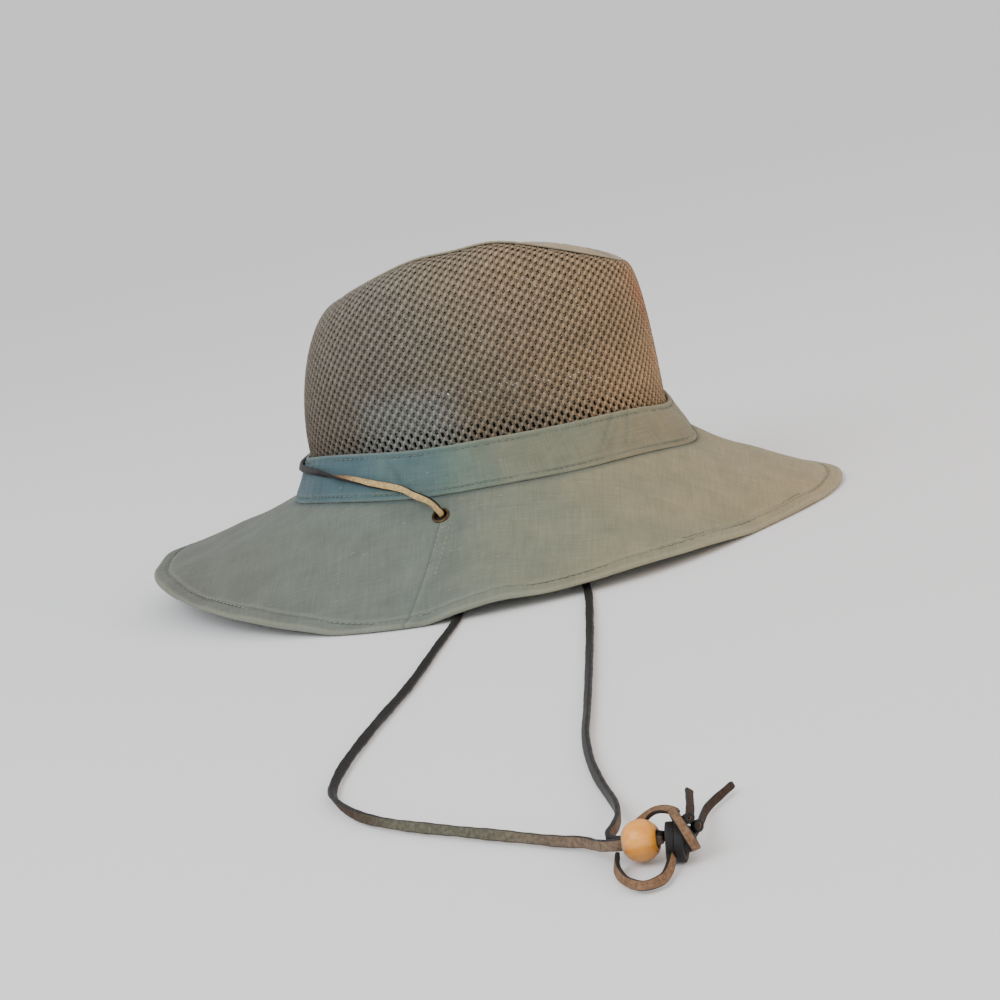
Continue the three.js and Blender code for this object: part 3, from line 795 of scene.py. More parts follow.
def tree_with(name, kinds):
    """A new Geometry Nodes tree with the named inputs, and its input sockets."""
    tree = bpy.data.node_groups.new(name, "GeometryNodeTree")
    for label, kind in {"Geometry": "Geometry", **kinds}.items():
        tree.interface.new_socket(label, in_out="INPUT", socket_type="NodeSocket" + kind)
    tree.interface.new_socket("Geometry", in_out="OUTPUT", socket_type="NodeSocketGeometry")
    return tree, add_node(tree, "NodeGroupInput").outputs


def end_tree(tree, given, shape):
    """Ends a tree with the shape made real, in the given material."""
    real = add_node(tree, "GeometryNodeRealizeInstances", {"Geometry": shape})
    inputs = {"Geometry": real, "Material": given["Material"]}
    add_node(tree, "NodeGroupOutput", {"Geometry": add_node(tree, "GeometryNodeSetMaterial", inputs)})
    return tree


def yarn_tree():
    """Turns each line of the input into a round yarn, thicker where the line's own radius is larger."""
    tree, given = tree_with("yarn", {"Yarn radius": "Float", "Sides": "Int", "Material": "Material"})
    inputs = {"Resolution": given["Sides"], "Radius": given["Yarn radius"]}
    profile = add_node(tree, "GeometryNodeCurvePrimitiveCircle", inputs, mode="RADIUS")
    thickness = add_node(tree, "GeometryNodeInputRadius")
    inputs = {"Curve": given["Geometry"], "Profile Curve": profile, "Scale": thickness, "Fill Caps": True}
    return end_tree(tree, given, add_node(tree, "GeometryNodeCurveToMesh", inputs))


def stitch_tree():
    """Puts one thread stitch at each point, laid along one attribute with its back to another."""
    kinds = dict.fromkeys(("Length", "Width", "Height", "Unevenness"), "Float")
    tree, given = tree_with("stitches", {**kinds, "Seed": "Int", "Material": "Material"})
    along, outward, size = (
        add_node(tree, "GeometryNodeInputNamedAttribute", {"Name": name}, data_type=kind)
        for name, kind in (("along", "FLOAT_VECTOR"), ("outward", "FLOAT_VECTOR"), ("size", "FLOAT"))
    )
    lengths = {"X": given["Length"], "Y": given["Width"], "Z": given["Height"]}
    thread = add_node(tree, "GeometryNodeMeshIcoSphere", {"Radius": 0.5, "Subdivisions": 1})
    inputs = {"Geometry": thread, "Scale": add_node(tree, "ShaderNodeCombineXYZ", lengths)}
    stitch = add_node(tree, "GeometryNodeTransform", inputs)
    turn = "FunctionNodeAlignRotationToVector"
    laid = add_node(tree, turn, {"Vector": along}, axis="X", pivot_axis="AUTO")
    faced = add_node(tree, turn, {"Rotation": laid, "Vector": outward}, axis="Z", pivot_axis="X")
    least, most = (
        add_node(tree, "ShaderNodeMath", {0: 1.0, 1: given["Unevenness"]}, operation=operation)
        for operation in ("SUBTRACT", "ADD")
    )
    inputs = {2: least, 3: most, "Seed": given["Seed"]}
    uneven = add_node(tree, "FunctionNodeRandomValue", inputs, data_type="FLOAT")
    scale = add_node(tree, "ShaderNodeMath", {0: size, 1: uneven}, operation="MULTIPLY")
    inputs = {"Points": given["Geometry"], "Instance": stitch, "Rotation": faced, "Scale": scale}
    return end_tree(tree, given, add_node(tree, "GeometryNodeInstanceOnPoints", inputs))


def grown(name, start, tree, values, nodes=()):
    """Runs a tree on some points or curves and makes the result a plain piece."""
    carrier = placed(name + "_start", start)
    modifier = carrier.modifiers.new("made", "NODES")
    modifier.node_group = tree
    for item in tree.interface.items_tree:
        if item.in_out == "INPUT" and item.name in values:
            modifier[item.identifier] = values[item.name]
    mesh = evaluated_mesh(carrier)
    carrier.modifiers.remove(modifier)
    bpy.data.objects.remove(carrier)
    mesh.name = name
    return new_object(name, mesh, values["Material"], nodes)


def stitches(name, tree, material, rows, size, unevenness=0.12, grow=1.0):
    """Rows of (places, along, outward) in millimetres become one joined mesh of stitches."""
    place, along, outward = (np.concatenate(column) for column in zip(*rows))
    mesh = bpy.data.meshes.new(name + "_points")
    mesh.from_pydata((place * MM).tolist(), [], [])
    for label, values in (("along", along), ("outward", outward)):
        layer = mesh.attributes.new(label, "FLOAT_VECTOR", "POINT")
        layer.data.foreach_set("vector", values.astype(np.float32).ravel())
    add_field(mesh, "size", np.broadcast_to(grow, len(place)))
    values = {label: part * MM for label, part in zip(("Length", "Width", "Height"), size)}
    values |= {"Unevenness": unevenness, "Seed": 3, "Material": material}
    return grown(name, mesh, tree, values)


def stitch_row(path, outward, pitch, lift=0.0):
    """Evenly spaced places along a dense path, with the direction and outward normal at each."""
    steps = np.linalg.norm(np.diff(path, axis=0), axis=1)
    travelled = np.concatenate([[0], np.cumsum(steps)])
    count = max(int(travelled[-1] / pitch), 1)
    wanted = (np.arange(count) + 0.5) * travelled[-1] / count

    def at(where, values):
        return np.stack([np.interp(where, travelled, values[:, i]) for i in range(3)], -1)

    normal = at(wanted, outward)
    return at(wanted, path) + normal * lift, at(wanted + 0.3, path) - at(wanted - 0.3, path), normal


# ---------------------------------------------------------------- crown net

# A warp-knitted mesh: upright chains, each of two strands that cross once a row, sway to one neighbour
# and then to the other, so that small holes open between them. Two panels meet at the front and back.
NET = dict(
    wale=2.5,  # between two chains
    course=2.26,  # between two rows
    slant=11.0,  # degrees that the chains lean left, seen from outside
    sway=0.4,
    ply=0.45,  # a strand's distance from the chain's middle
    depth=0.3,
    thicken=0.35,  # where the knit is closest, half-way up
    underlap=(2.9, 1.7, 0.6),  # the thread that crosses behind each hole there
    start=80.0,  # degrees from the front where the chains are counted from
    wales=(-62, 63),  # the chains, and the rows below, that cover a panel
    rows=(-14, 60),
    points=3,  # of each strand in each row
    strand={"near": 0.58, "far": 0.62},  # radii
    tie={"near": (3.1, 1.45, 0.95), "far": (3.2, 1.6, 0.95)},  # the loops that hold two chains together
)


def sample(grid, row, column):
    """Bilinear values of a grid at fractional rows and columns."""
    i = np.clip(np.floor(row).astype(int), 0, grid.shape[0] - 2)
    j = np.clip(np.floor(column).astype(int), 0, grid.shape[1] - 2)
    u, v = row - i, column - j
    low = grid[i, j] * (1 - v) + grid[i, j + 1] * v
    high = grid[i + 1, j] * (1 - v) + grid[i + 1, j + 1] * v
    return low * (1 - u) + high * u


class Panel:
    """Half of the crown wall, unrolled: measured millimetres forward and up to an angle and a share."""

    def __init__(self, side):
        self.side = side
        self.turns = np.radians(np.linspace(-25, 205, 231))
        self.shares = np.linspace(-0.75, 1.12, 121)
        surface = mesh_outside(side * self.turns[:, None], self.shares[None])
        round_step = np.linalg.norm(np.diff(surface, axis=0), axis=2)
        climb_step = np.linalg.norm(np.diff(surface, axis=1), axis=2)
        self.forward = -np.pad(np.cumsum(round_step, 0), ((1, 0), (0, 0)))
        self.forward -= self.forward[np.abs(self.turns - math.radians(NET["start"])).argmin()]
        self.climb = np.pad(np.cumsum(climb_step, 1), ((0, 0), (1, 0)))
        self.climb -= np.array([np.interp(0, self.shares, row) for row in self.climb])[:, None]

    def locate(self, across_wales, along_wales):
        """The angle from the front and the share of places in the leaning knit, by Newton's method."""
        slant = -self.side * math.radians(NET["slant"])
        forward = across_wales * math.cos(slant) - along_wales * math.sin(slant)
        climb = across_wales * math.sin(slant) + along_wales * math.cos(slant)
        row = np.full(forward.shape, len(self.turns) / 2)
        column = np.full(forward.shape, len(self.shares) / 2)
        for _ in range(14):
            f0, c0 = sample(self.forward, row, column), sample(self.climb, row, column)
            fr, cr = sample(self.forward, row + 1, column) - f0, sample(self.climb, row + 1, column) - c0
            fc, cc = sample(self.forward, row, column + 1) - f0, sample(self.climb, row, column + 1) - c0
            scale = fr * cc - fc * cr
            df, dc = forward - f0, climb - c0
            row = row + np.clip((df * cc - dc * fc) / scale, -25, 25)
            column = column + np.clip((dc * fr - df * cr) / scale, -15, 15)
            row = np.clip(row, -20, len(self.turns) + 20)
            column = np.clip(column, -20, len(self.shares) + 20)
        turn = self.turns[0] + row * (self.turns[1] - self.turns[0])
        return turn, self.shares[0] + column * (self.shares[1] - self.shares[0])


def closeness(point, share):
    """How closely the net is knitted: 0 by the band and the top edge, 1 between, less towards the front."""
    between = step_up(share, 0.03, 0.09) * (1 - step_up(share, 0.8, 0.93))
    return between * (1 - 0.35 * step_up(point[..., 0], 25, 85))


def net_normals(angle, share):
    return normals_of(mesh_outside, angle, np.minimum(share, 0.998))


def strands(panel):
    """Every strand of one panel as rows of angles from the front, shares and depths."""
    wale = np.arange(*NET["wales"])[:, None, None]
    first, last = NET["rows"]
    step = np.arange(first * NET["points"], last * NET["points"])[None, None, :] / NET["points"]
    ply = np.array([0.0, np.pi])[None, :, None]
    wave = np.cos(np.pi * (step + wale))
    # Swaying stays longer at each side than a plain wave would.
    sway = NET["sway"] * wave * (1.25 - 0.25 * wave**2)
    twist = np.pi * step + ply
    across_wales = wale * NET["wale"] + sway + NET["ply"] * np.cos(twist)
    turn, share = panel.locate(across_wales, step * NET["course"])
    depth = np.broadcast_to(NET["depth"] * np.sin(twist), turn.shape)
    return (values.reshape(-1, turn.shape[-1]) for values in (turn, share, depth))


def ties(panel, parity=0, lean=0.35, depth=0.45):
    """One slanting loop wherever two chains meet, or with parity 1 where they part: places and closeness."""
    wale, row = np.meshgrid(np.arange(*NET["wales"]), np.arange(*NET["rows"]), indexing="ij")
    # Chains sway towards each other on even rows to one side and on odd rows to the other.
    meets = (wale + row) % 2 == parity

    def at(sideways, upwards):
        across_wales = (wale[meets] + 0.5) * NET["wale"] + sideways
        return panel.locate(across_wales, row[meets] * NET["course"] + upwards)

    turn, share = at(0, 0)
    inside = (turn > 0) & (turn < np.pi) & (share > -0.5) & (share < 0.99)
    low, high = (mesh_outside(panel.side * a[inside], b[inside]) for a, b in (at(-lean, -0.6), at(lean, 0.6)))
    angle, share = panel.side * turn[inside], share[inside]
    normal = net_normals(angle, share)
    place = mesh_outside(angle, share)
    return (place - normal * depth, high - low, normal), closeness(place, share)


def kept_runs(turn, share):
    """Where a strand lies on its panel: start and end places of each unbroken stretch."""
    inside = (turn > 0) & (turn < np.pi) & (share > -0.55) & (share < 1.0)
    edges = np.flatnonzero(np.diff(np.concatenate([[0], inside.astype(int), [0]])))
    return [(a, b) for a, b in zip(edges[::2], edges[1::2]) if b - a > 3]


def net_piece(name, paths, material, yarn, radius, sides):
    """Yarn along (path, thickness) pairs in millimetres, as one piece of the crown's net."""
    curve = bpy.data.curves.new(name, "CURVE")
    curve.dimensions = "3D"
    for path, thickness in paths:
        spline = curve.splines.new("POLY")
        spline.points.add(len(path) - 1)
        spline.points.foreach_set("co", np.c_[path * MM, np.ones(len(path))].astype(np.float32).ravel())
        spline.points.foreach_set("radius", np.broadcast_to(thickness, len(path)).astype(np.float32))
    values = {"Yarn radius": radius * MM, "Sides": sides, "Material": material}
    return grown(name, curve, yarn, values, ["crown_mesh"])


def make_net(material, tie_material, yarn, stitch_maker):
    for half, side in (("near", -1), ("far", 1)):
        panel, net = Panel(side), f"crown_net_{half}_"
        row, close = ties(panel)
        grow = 1 + NET["thicken"] * close
        stitches(net + "ties", stitch_maker, tie_material, [row], NET["tie"][half], 0.15, grow)
        row, close = ties(panel, 1, -0.35, 1.2)
        kept = close + 0.12 * np.sin(7 * row[0][:, 0] + 11 * row[0][:, 2]) > 0.3
        row, grow = [column[kept] for column in row], close[kept] ** 0.5
        stitches(net + "underlaps", stitch_maker, material, [row], NET["underlap"], 0.15, grow)
        turn, share, depth = strands(panel)
        angle = side * turn
        point = mesh_outside(angle, share)
        close = 1 + 0.45 * NET["thicken"] * closeness(point, share)
        point = point + net_normals(angle, share) * (depth - MESH["wall"] / 2)[..., None]
        paths = {"front": [], "back": []}
        for row in range(len(turn)):
            for first, last in kept_runs(turn[row], share[row]):
                part = "front" if turn[row, (first + last) // 2] < np.pi / 2 else "back"
                paths[part].append((point[row, first:last], close[row, first:last]))
        for part in paths:
            net_piece(net + part, paths[part], material, yarn, NET["strand"][half], 5)
    net_piece("crown_net_seams", net_seams(), material, yarn, 0.5, 6)


def net_seams():
    """The overlocked seams that join the two panels at the front and the back: four strands each."""
    share = np.linspace(-0.4, 1, 120)
    for at in (0.0, math.pi):
        for strand in range(4):
            phase = share * 130 + 2 * strand
            shift = (strand - 1.5) * 0.62 + 0.22 * np.sin(phase)
            angle = at + shift / np.hypot(*mesh_outside(at, share)[:, :2].T)
            sunk = net_normals(angle, share) * (0.35 - 0.25 * np.cos(phase))[:, None]
            yield mesh_outside(angle, share) - sunk, 1.0


# ---------------------------------------------------------------- topstitching


def make_stitching(tree, canvas_thread, band_thread):
    def row_on(surface, angle, share, pitch, lift):
        outward = normals_of(surface, angle, share)
        if surface is brim_top:
            outward *= np.sign(outward[:, 2:3])
        return stitch_row(surface(angle, share), outward, pitch, lift)

    loop = np.append(ANGLES, ANGLES[:1] + 2 * np.pi)
    width = brim_width(ANGLES)
    rows = [row_on(brim_top, loop, 1 - BRIM["hem"] / np.append(width, width[:1]), 3.1, -0.22)]
    share = np.linspace(SIDE_SEAM_FROM + 0.02, 0.9, 60)
    for at in SEAM_ANGLES:
        for offset in (1.4, 6.0):
            middle = np.full(60, math.radians(at))
            angle = middle + offset / np.hypot(*brim_top(middle, share)[:, :2].T)
            rows.append(row_on(brim_top, angle, share, 3.1, 0.25))
    stitches("brim_stitching", tree, canvas_thread, rows, (2.3, 0.75, 0.5))
    lines = [np.full(len(loop), BAND[line] / BAND["height"]) for line in ("low_stitch", "top_stitch")]
    rows = [row_on(band_outside, loop, share, 3.0, -0.1) for share in lines]
    stitches("band_stitching", tree, band_thread, rows, (2.1, 0.7, 0.5))


# ---------------------------------------------------------------- lace

# Rows of x, y, z and the turn of the flat lace, 0 lying flat and 90 on its edge. With None for z the
# lace lies on the surface.
HELD_FREE = [
    (-7.7, -92.1, 35.1, 125),
    (-8.3, -93.3, 38.8, 122),
    (-11.2, -93.4, 43.2, 105),
    (-18, -90.2, 46.6, 78),
]
# Places on the band: degrees round, share of its height, turn. The lace rolls over once on its way.
HELD_ON_BAND = [
    (247, 0.24, 62),
    (236, 0.4, 48),
    (229, 0.5, 26),
    (222, 0.58, -14),
    (211, 0.7, -80),
    (196, 0.8, -115),
]
CHIN_NEAR = [
    (-7.65, -91.95, 34.7, 125),
    (-7.1, -90.8, 31.2, 110),
    (-5, -91.8, 23, 145),
    (-2.8, -97, 12.5, 165),
    (-1, -107, 4.4, 178),
    (0, -116, 1.6, 180),
    (0.8, -127, None, 180),
    (1.2, -137, None, 180),
    (1.8, -158, None, 180),
    (-0.6, -198, None, 172),
    (-3.5, -249, None, 160),
    (-9, -297, None, 150),
    (-12, -335, None, 142),
    (-11.6, -358, None, 136),
    (-9.5, -370, None, 124),
    (-3.7, -382, None, 104),
    (6.6, -396, None, 80),
    (20, -407.5, None, 64),
    (42, -421.5, None, 64),
    (64, -435, None, 66),
    (77, -443, None, 70),
    (85.5, -449.3, 3, 78),
    (90, -456.8, 4.6, 84),
    (93.4, -462.6, 6.2, 88),
    (97.8, -465, 6.8, 90),
    (104.4, -464.9, 6.8, 90),
    (111, -465.5, 6.8, 90),
]
CHIN_FAR = [
    (-7.6, 91.8, 34.7, 55),
    (-6.7, 90.8, 31, 80),
    (-4.6, 87.5, 22, 120),
    (-1.5, 81, 11.5, 190),
    (3.6, 70, 3.8, 180),
    (7.4, 61, 1.5, 180),
    (11.5, 51, None, 180),
    (14.4, 42, None, 180),
    (26, 5, None, 180),
    (41, -55, None, 180),
    (53, -105, None, 180),
    (60, -142, None, 180),
    (66, -200, None, 200),
    (71, -262, None, 215),
    (75, -317, None, 225),
    (77, -347, None, 230),
    (81, -374, None, 235),
    (85.5, -394, None, 242),
    (88.6, -405.5, 2.4, 248),
    (91.7, -417, 3.2, 254),
    (94.4, -429, 4.5, 260),
    (95.8, -441, 5.6, 265),
    (95.4, -451, 6.5, 270),
    (94.4, -457, 6.8, 270),
    (95.2, -460.6, 6.8, 270),
    (98.3, -462.7, 6.8, 270),
    (104.4, -462.9, 6.8, 270),
    (111.5, -463.5, 6.8, 270),
]
LOOP_LOWER = [
    (97.4, -466.8, 4.6, 75),
    (96.9, -470, 2.8, 70),
    (98, -475.4, None, 65),
    (101.4, -482.6, None, 65),
    (106, -486.3, None, 65),
    (110.4, -484, None, 65),
    (112.4, -477.5, None, 65),
    (113.4, -470.8, 3.7, 70),
]
LOOP_UPPER = [
    (99.4, -456.6, 6.6, 70),
    (102.6, -455, 8, 60),
    (106.2, -455.6, 10.6, 45),
    (109.4, -458.4, 13, 30),
    (112.6, -461.8, 14.3, 20),
    (115.2, -464.6, 14.5, 20),
    (116.6, -466.2, 14.2, 20),
]
END_SHORT = [
    (118.8, -461.1, 9, 30),
    (118.8, -450.6, 9.2, 35),
    (118.2, -441, 8.8, 40),
    (117.6, -432.3, 8, 40),
]
END_LONG = [
    (119.4, -461.6, 5.4, 80),
    (120.6, -449, 3.4, 75),
    (122.4, -433, None, 70),
    (129.6, -417, None, 65),
]


def lying_height(turn):
    turn = math.radians(turn)
    return 0.1 + (abs(math.sin(turn)) * LACE["wide"] + abs(math.cos(turn)) * LACE["thick"]) / 2


def smooth_route(rows, step):
    """A centripetal Catmull-Rom curve through the rows, at even steps, with the turn along it."""
    knots = np.array([(x, y, lying_height(turn) if z is None else z) for x, y, z, turn in rows], float)
    turns = np.array([row[3] for row in rows], float)
    ends = np.vstack([2 * knots[0] - knots[1], knots, 2 * knots[-1] - knots[-2]])
    t = np.linspace(0, 1, 40, endpoint=False)[:, None]
    dense, dense_turn = [], []
    for i in range(len(knots) - 1):
        p0, p1, p2, p3 = ends[i : i + 4]
        d0, d1, d2 = (math.sqrt(np.linalg.norm(b - a)) for a, b in ((p0, p1), (p1, p2), (p2, p3)))
        t1 = ((p1 - p0) / d0 - (p2 - p0) / (d0 + d1) + (p2 - p1) / d1) * d1
        t2 = ((p2 - p1) / d1 - (p3 - p1) / (d1 + d2) + (p3 - p2) / d2) * d1
        start, finish = (2 * t**3 - 3 * t**2 + 1) * p1, (-2 * t**3 + 3 * t**2) * p2
        dense.append(start + (t**3 - 2 * t**2 + t) * t1 + finish + (t**3 - t**2) * t2)
        dense_turn.append(turns[i] + (turns[i + 1] - turns[i]) * t[:, 0])
    dense = np.vstack([*dense, knots[-1:]])
    dense_turn = np.concatenate([*dense_turn, turns[-1:]])
    travelled = np.concatenate([[0], np.cumsum(np.linalg.norm(np.diff(dense, axis=0), axis=1))])
    wanted = np.linspace(0, travelled[-1], max(int(travelled[-1] / step), 6) + 1)
    path = np.stack([np.interp(wanted, travelled, dense[:, i]) for i in range(3)], -1)
    return path, np.interp(wanted, travelled, dense_turn), wanted


def unit(vectors):
    return vectors / np.linalg.norm(vectors, axis=-1, keepdims=True)


def lace_directions(path, turn):
    """The wide direction and the face normal of the lace at each point of its path."""
    tangent = unit(np.gradient(path, axis=0))
    level = unit(np.cross([0, 0, 1], tangent))
    upright = np.cross(tangent, level)
    turn = np.radians(turn)[:, None]
    wide = level * np.cos(turn) + upright * np.sin(turn)
    return wide, np.cross(tangent, wide)


def lace_section(turned_over):
    """Places across the lace's width and thickness, and its face there: 1 smooth, 0 suede."""
    x, y, cut = LACE["wide"] / 2, LACE["thick"] / 2, 0.32
    top = [(x - cut, y), (x * 0.45, y * 1.04), (0, y * 1.06), (-x * 0.45, y * 1.04), (cut - x, y)]
    left = [(-x + 0.08, y - cut), (-x, 0), (-x + 0.08, cut - y)]
    section = np.array(top + left)
    # The suede's nap runs a little over the cut edges.
    above, below = ([0.6, 1, 1, 1, 0.6], [0] * 5) if turned_over else ([0.4, 0, 0, 0, 0.4], [1] * 5)
    return np.concatenate([section, -section]), np.array([*above, 1, 1, 1, *below, 1, 1, 1], float)


def ribbon_mesh(name, path, directions, travelled, tone=0.5, size=1.0, closed=False, turned_over=False):
    wide, normal = directions
    section, face = lace_section(turned_over)
    scale = np.full(len(path), size)
    if not closed:
        scale[[0, -1]] *= 0.8
    uneven = 1 + 0.05 * np.sin(travelled * 0.21 + 1) + 0.03 * np.sin(travelled * 0.73)
    grid = (
        path[:, None]
        + wide[:, None] * (section[None, :, :1] * (scale * uneven)[:, None, None])
        + normal[:, None] * (section[None, :, 1:] * scale[:, None, None])
    )
    rings, count = grid.shape[:2]
    mesh = grid_mesh(name, grid, closed)
    add_field(mesh, "face", np.broadcast_to(face, (rings, count)))
    add_field(mesh, "tone", np.broadcast_to(np.asarray(tone, float).reshape(-1, 1), (rings, count)))
    corner = np.empty(len(mesh.loops), np.int32)
    mesh.loops.foreach_get("vertex_index", corner)
    # The UV map runs round and along the lace, in metres.
    girth = LACE["girth"] * MM
    uv = np.stack([(corner % count) / count * girth, travelled[corner // count] * MM], -1)
    mesh.uv_layers.new(name="lace").data.foreach_set("uv", uv.astype(np.float32).ravel())
    return reworked(mesh, bmesh.ops.recalc_face_normals, "faces")


def lace_piece(node, rows, material, tone, size=1.0, step=1.2):
    path, turn, travelled = smooth_route(rows, step)
    tone = tone(path) if callable(tone) else tone
    mesh = ribbon_mesh(node + "_strip", path, lace_directions(path, turn), travelled, tone, size)
    return new_object(node + "_strip", mesh, material, [node]), path, travelled[-1]


def on_band(at, share, turn):
    # Flat against the band the lace's turn is 65 degrees; on its edge it stands 1 mm further off.
    on_edge = math.sin(math.radians(turn - 65)) ** 2
    place = band_outside(math.radians(at), share, -(LACE["thick"] / 2 + 3 * GAP + on_edge))
    return (*place, turn)


def held_rows():
    near = HELD_FREE + [on_band(*row) for row in HELD_ON_BAND]
    far = [(x, -y, z, turn) for x, y, z, turn in near]
    return far + [on_band(180, 0.84, -115)] + near[::-1]


def make_laces(material, by_bead):
    def over_band(path):
        # The suede is palest where it comes over the band to a hole.
        return 0.3 + 0.7 * step_up(np.abs(path[:, 1]), 58, 74)

    def browner_by_bead(path):
        return 0.08 + 0.2 * step_up(path[:, 0], -4, 24) + 0.14 * step_up(path[:, 0], 45, 88)

    lace_piece("lace_round_crown", held_rows(), material, over_band)
    for node, rows, tone, size in (
        ("lace_loop_lower", LOOP_LOWER, 0.5, 0.85),
        ("lace_loop_upper", LOOP_UPPER, 0.5, 0.8),
        ("lace_end_short", END_SHORT, 0.02, 0.75),
        ("lace_end_long", END_LONG, 0.02, 0.72),
    ):
        by_bead.append(lace_piece(node, rows, material, tone, size, 0.8)[0])
    for node, rows, extra in (("chin_lace_near", CHIN_NEAR, by_bead), ("chin_lace_far", CHIN_FAR, [])):
        piece, path, length = lace_piece(node, rows, material, browner_by_bead)
        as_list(extra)


# ---------------------------------------------------------------- bead, knot and eyelets


def lathe_mesh(name, profile, middle, direction, count=64):
    """Turns a closed profile of (radius, height) round a direction at a place."""
    angle = np.arange(count) * 2 * np.pi / count
    radius, height = np.array(profile, float).T[..., None]
    turn = np.array(Vector((0, 0, 1)).rotation_difference(Vector(direction)).to_matrix())
    place = points(radius * np.cos(angle), radius * np.sin(angle), height)
    return grid_mesh(name, place @ turn.T + np.asarray(middle))


def make_bead(material):
    radius, bore = BEAD["radius"], BEAD["bore"]
    flat = math.asin((bore + 0.5) / radius)
    outside = [(radius * math.sin(a), -radius * math.cos(a)) for a in np.linspace(flat, math.pi - flat, 30)]
    end = radius * math.cos(flat)
    lip = [(bore + 0.2, end + 0.02), (bore, end - 0.35)]
    inside = [(bore, h) for h in np.linspace(end - 0.9, 0.9 - end, 6)]
    profile = outside + lip + inside + [(r, -h) for r, h in lip[::-1]]
    mesh = lathe_mesh("wooden_bead", profile, BEAD["centre"], BEAD["axis"])
    return new_object("wooden_bead", mesh, material, ["bead"])


# An overhand knot pulled tight: two dark upright turns, a tan one slanting over them, and two nubs
# where the ends come out. Each is a closed turn whose middle is measured from the knot's.
KNOT_TURNS = [
    dict(away=(-3.6, 0.2, -0.6), plane_x=(0, 1, 0), plane_y=(0.12, 0, 1), radii=(4.4, 5.2)),
    dict(away=(-0.6, -0.2, -1.0), plane_x=(0.1, 1, 0), plane_y=(0.1, 0, 1), radii=(4.9, 5.0)),
    dict(
        away=(0.8, -0.2, 2.6),
        plane_x=(0.37, -0.12, -0.92),
        plane_y=(-0.16, 0.93, -0.33),
        radii=(6.1, 5.4),
        tilt=8,
        size=0.78,
        smooth_out=False,
    ),
    dict(away=(2.4, 0.4, 5.6), plane_x=(0.8, 0.6, 0.2), plane_y=(-0.2, 0.3, 1), radii=(1.3, 0.9), size=0.7),
    dict(away=(4.6, 0.6, 2.8), plane_x=(0.3, 0.6, 0.5), plane_y=(-0.2, 0.3, 1), radii=(1.4, 1.0), size=0.7),
]


def turn_of_lace(away, plane_x, plane_y, radii, tilt=0.0, size=0.85, smooth_out=True):
    """One closed turn of lace in the knot, with its smooth or its suede side outwards."""
    angle = np.linspace(0, 2 * np.pi, 60, endpoint=False)
    plane_x = unit(np.array(plane_x, float))
    plane_y = unit(plane_y - plane_x * np.dot(plane_x, plane_y))
    c, s = np.cos(angle)[:, None], np.sin(angle)[:, None]
    path = np.add(KNOT_CENTRE, away) + plane_x * c * radii[0] + plane_y * s * radii[1]
    outward = unit(plane_x * c / radii[0] + plane_y * s / radii[1])
    tilt = math.radians(tilt)
    wide = np.cross(plane_x, plane_y) * math.cos(tilt) + outward * math.sin(tilt)
    tangent = unit(-plane_x * s * radii[0] + plane_y * c * radii[1])
    directions = (wide, np.cross(tangent, wide))
    travelled = angle * np.mean(radii)
    return ribbon_mesh("turn", path, directions, travelled, size=size, closed=True, turned_over=smooth_out)


def make_knot(material):
    work = bmesh.new()
    for turn in KNOT_TURNS:
        mesh = turn_of_lace(**turn)
        work.from_mesh(mesh)
        bpy.data.meshes.remove(mesh)
    mesh = bpy.data.meshes.new("lace_knot_tied")
    work.to_mesh(mesh)
    work.free()
    heart = knot_heart((4.2, 4.1, 4.7))
    return [new_object(part.name, part, material, ["lace_knot"]) for part in (mesh, heart)]


def knot_heart(half):
    """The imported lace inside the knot, as a rounded lump."""
    centre = np.add(KNOT_CENTRE, (-0.4, 0, -0.2))
    work = bmesh.new()
    bmesh.ops.create_icosphere(work, subdivisions=4, radius=1.0)
    for vert in work.verts:
        wobble = 1 + 0.07 * math.sin(7 * vert.co.x + 2) * math.cos(6 * vert.co.y + 5 * vert.co.z)
        vert.co = Vector([(c + v * h * wobble) * MM for c, v, h in zip(centre, vert.co, half)])
    mesh = bpy.data.meshes.new("lace_knot_heart")
    work.to_mesh(mesh)
    work.free()
    add_field(mesh, "face", np.ones(len(mesh.vertices)))
    add_field(mesh, "tone", np.zeros(len(mesh.vertices)))
    mesh.uv_layers.new(name="lace")
    return mesh


# A set eyelet: a rolled rim above and below the brim, joined by a thin barrel.
EYELET = dict(ring=3.75, roll=(0.62, 0.55), height=1.35, bore=3.0, barrel=0.9, back=(3.3, 0.8))


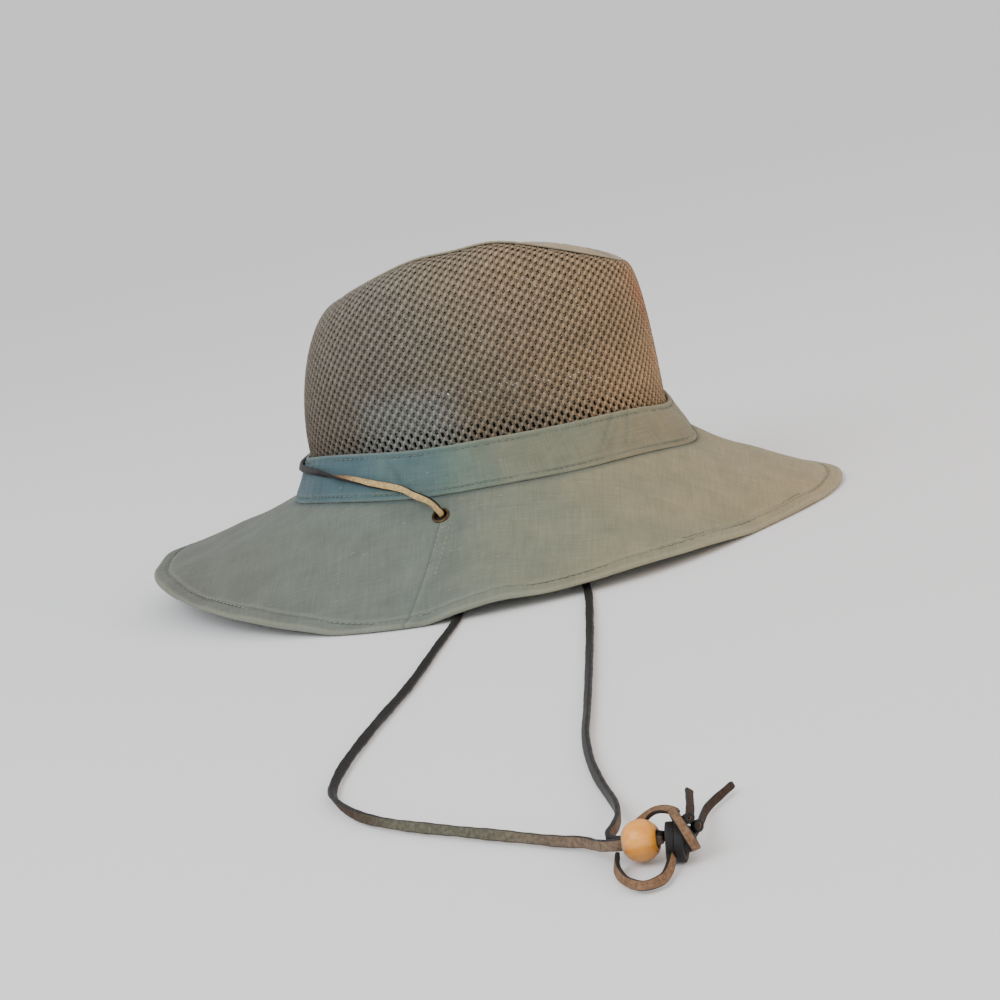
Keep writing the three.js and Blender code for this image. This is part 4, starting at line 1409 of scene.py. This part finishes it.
def make_eyelets(material):
    def rim(height, start):
        wide, high = EYELET["roll"]
        turn = np.radians(range(start, start + 271, 30))
        return [(EYELET["ring"] + wide * math.cos(a), height + high * math.sin(a)) for a in turn]

    barrel = [(EYELET["bore"], h) for h in (EYELET["barrel"], 0, -EYELET["barrel"])]
    radius, height = EYELET["back"]
    profile = rim(EYELET["height"], -60) + barrel + rim(-EYELET["height"], 150)
    profile += [(radius, -height), (radius, height)]
    for name, side in (("near", 1), ("far", -1)):
        mesh = lathe_mesh("eyelet_ring_" + name, profile[::-1], *hole_frame(side), 48)
        new_object("eyelet_ring_" + name, mesh, material, ["eyelet_" + name])


# ---------------------------------------------------------------- the scene

make_camera()
make_lights()
make_floor()

leather = leather_lace()
trimmings = [make_bead(lacquered_beech()), *make_knot(leather)]
make_laces(leather, trimmings)

# Cool grey-green or blue at the back of the hat, sandy tan at the front: the canvas's colour with painted
# light, cool at the back and warm on the front.
BRIM_COLOUR_AND_LIGHT = [
    (0.0, "#5d6057"),
    (0.2, "#656b61"),
    (0.4, "#6a736a"),
    (0.6, "#757a69"),
    (0.8, "#898368"),
    (1.0, "#988967"),
]
BAND_COLOUR_AND_LIGHT = [(0.0, "#4c5c60"), (0.36, "#4b646b"), (0.52, "#617369"), (0.75, "#7d7861"), (1.0, "#8a7a5c")]
TOP_COLOUR_AND_LIGHT = [(0.0, "#827c6c"), (0.5, "#9b8f78"), (1.0, "#a89477")]

brim = make_brim(washed_canvas("washed_brim_canvas", BRIM_COLOUR_AND_LIGHT))
cut_lace_holes(brim)
make_band(washed_canvas("washed_band_canvas", BAND_COLOUR_AND_LIGHT, on_strip=True))
make_crown_top(washed_canvas("washed_top_canvas", TOP_COLOUR_AND_LIGHT))

stitch_maker = stitch_tree()
# One yarn at two brightnesses: painted shade on the strands, painted light on the tie loops.
make_net(knit_yarn("knit_yarn", 0.66), knit_yarn("knit_tie_yarn", 1.18), yarn_tree(), stitch_maker)
threads = sewing_thread("canvas_thread", "#8b8b7b"), sewing_thread("band_thread", "#687266")
make_stitching(stitch_maker, *threads)
make_eyelets(antique_brass())
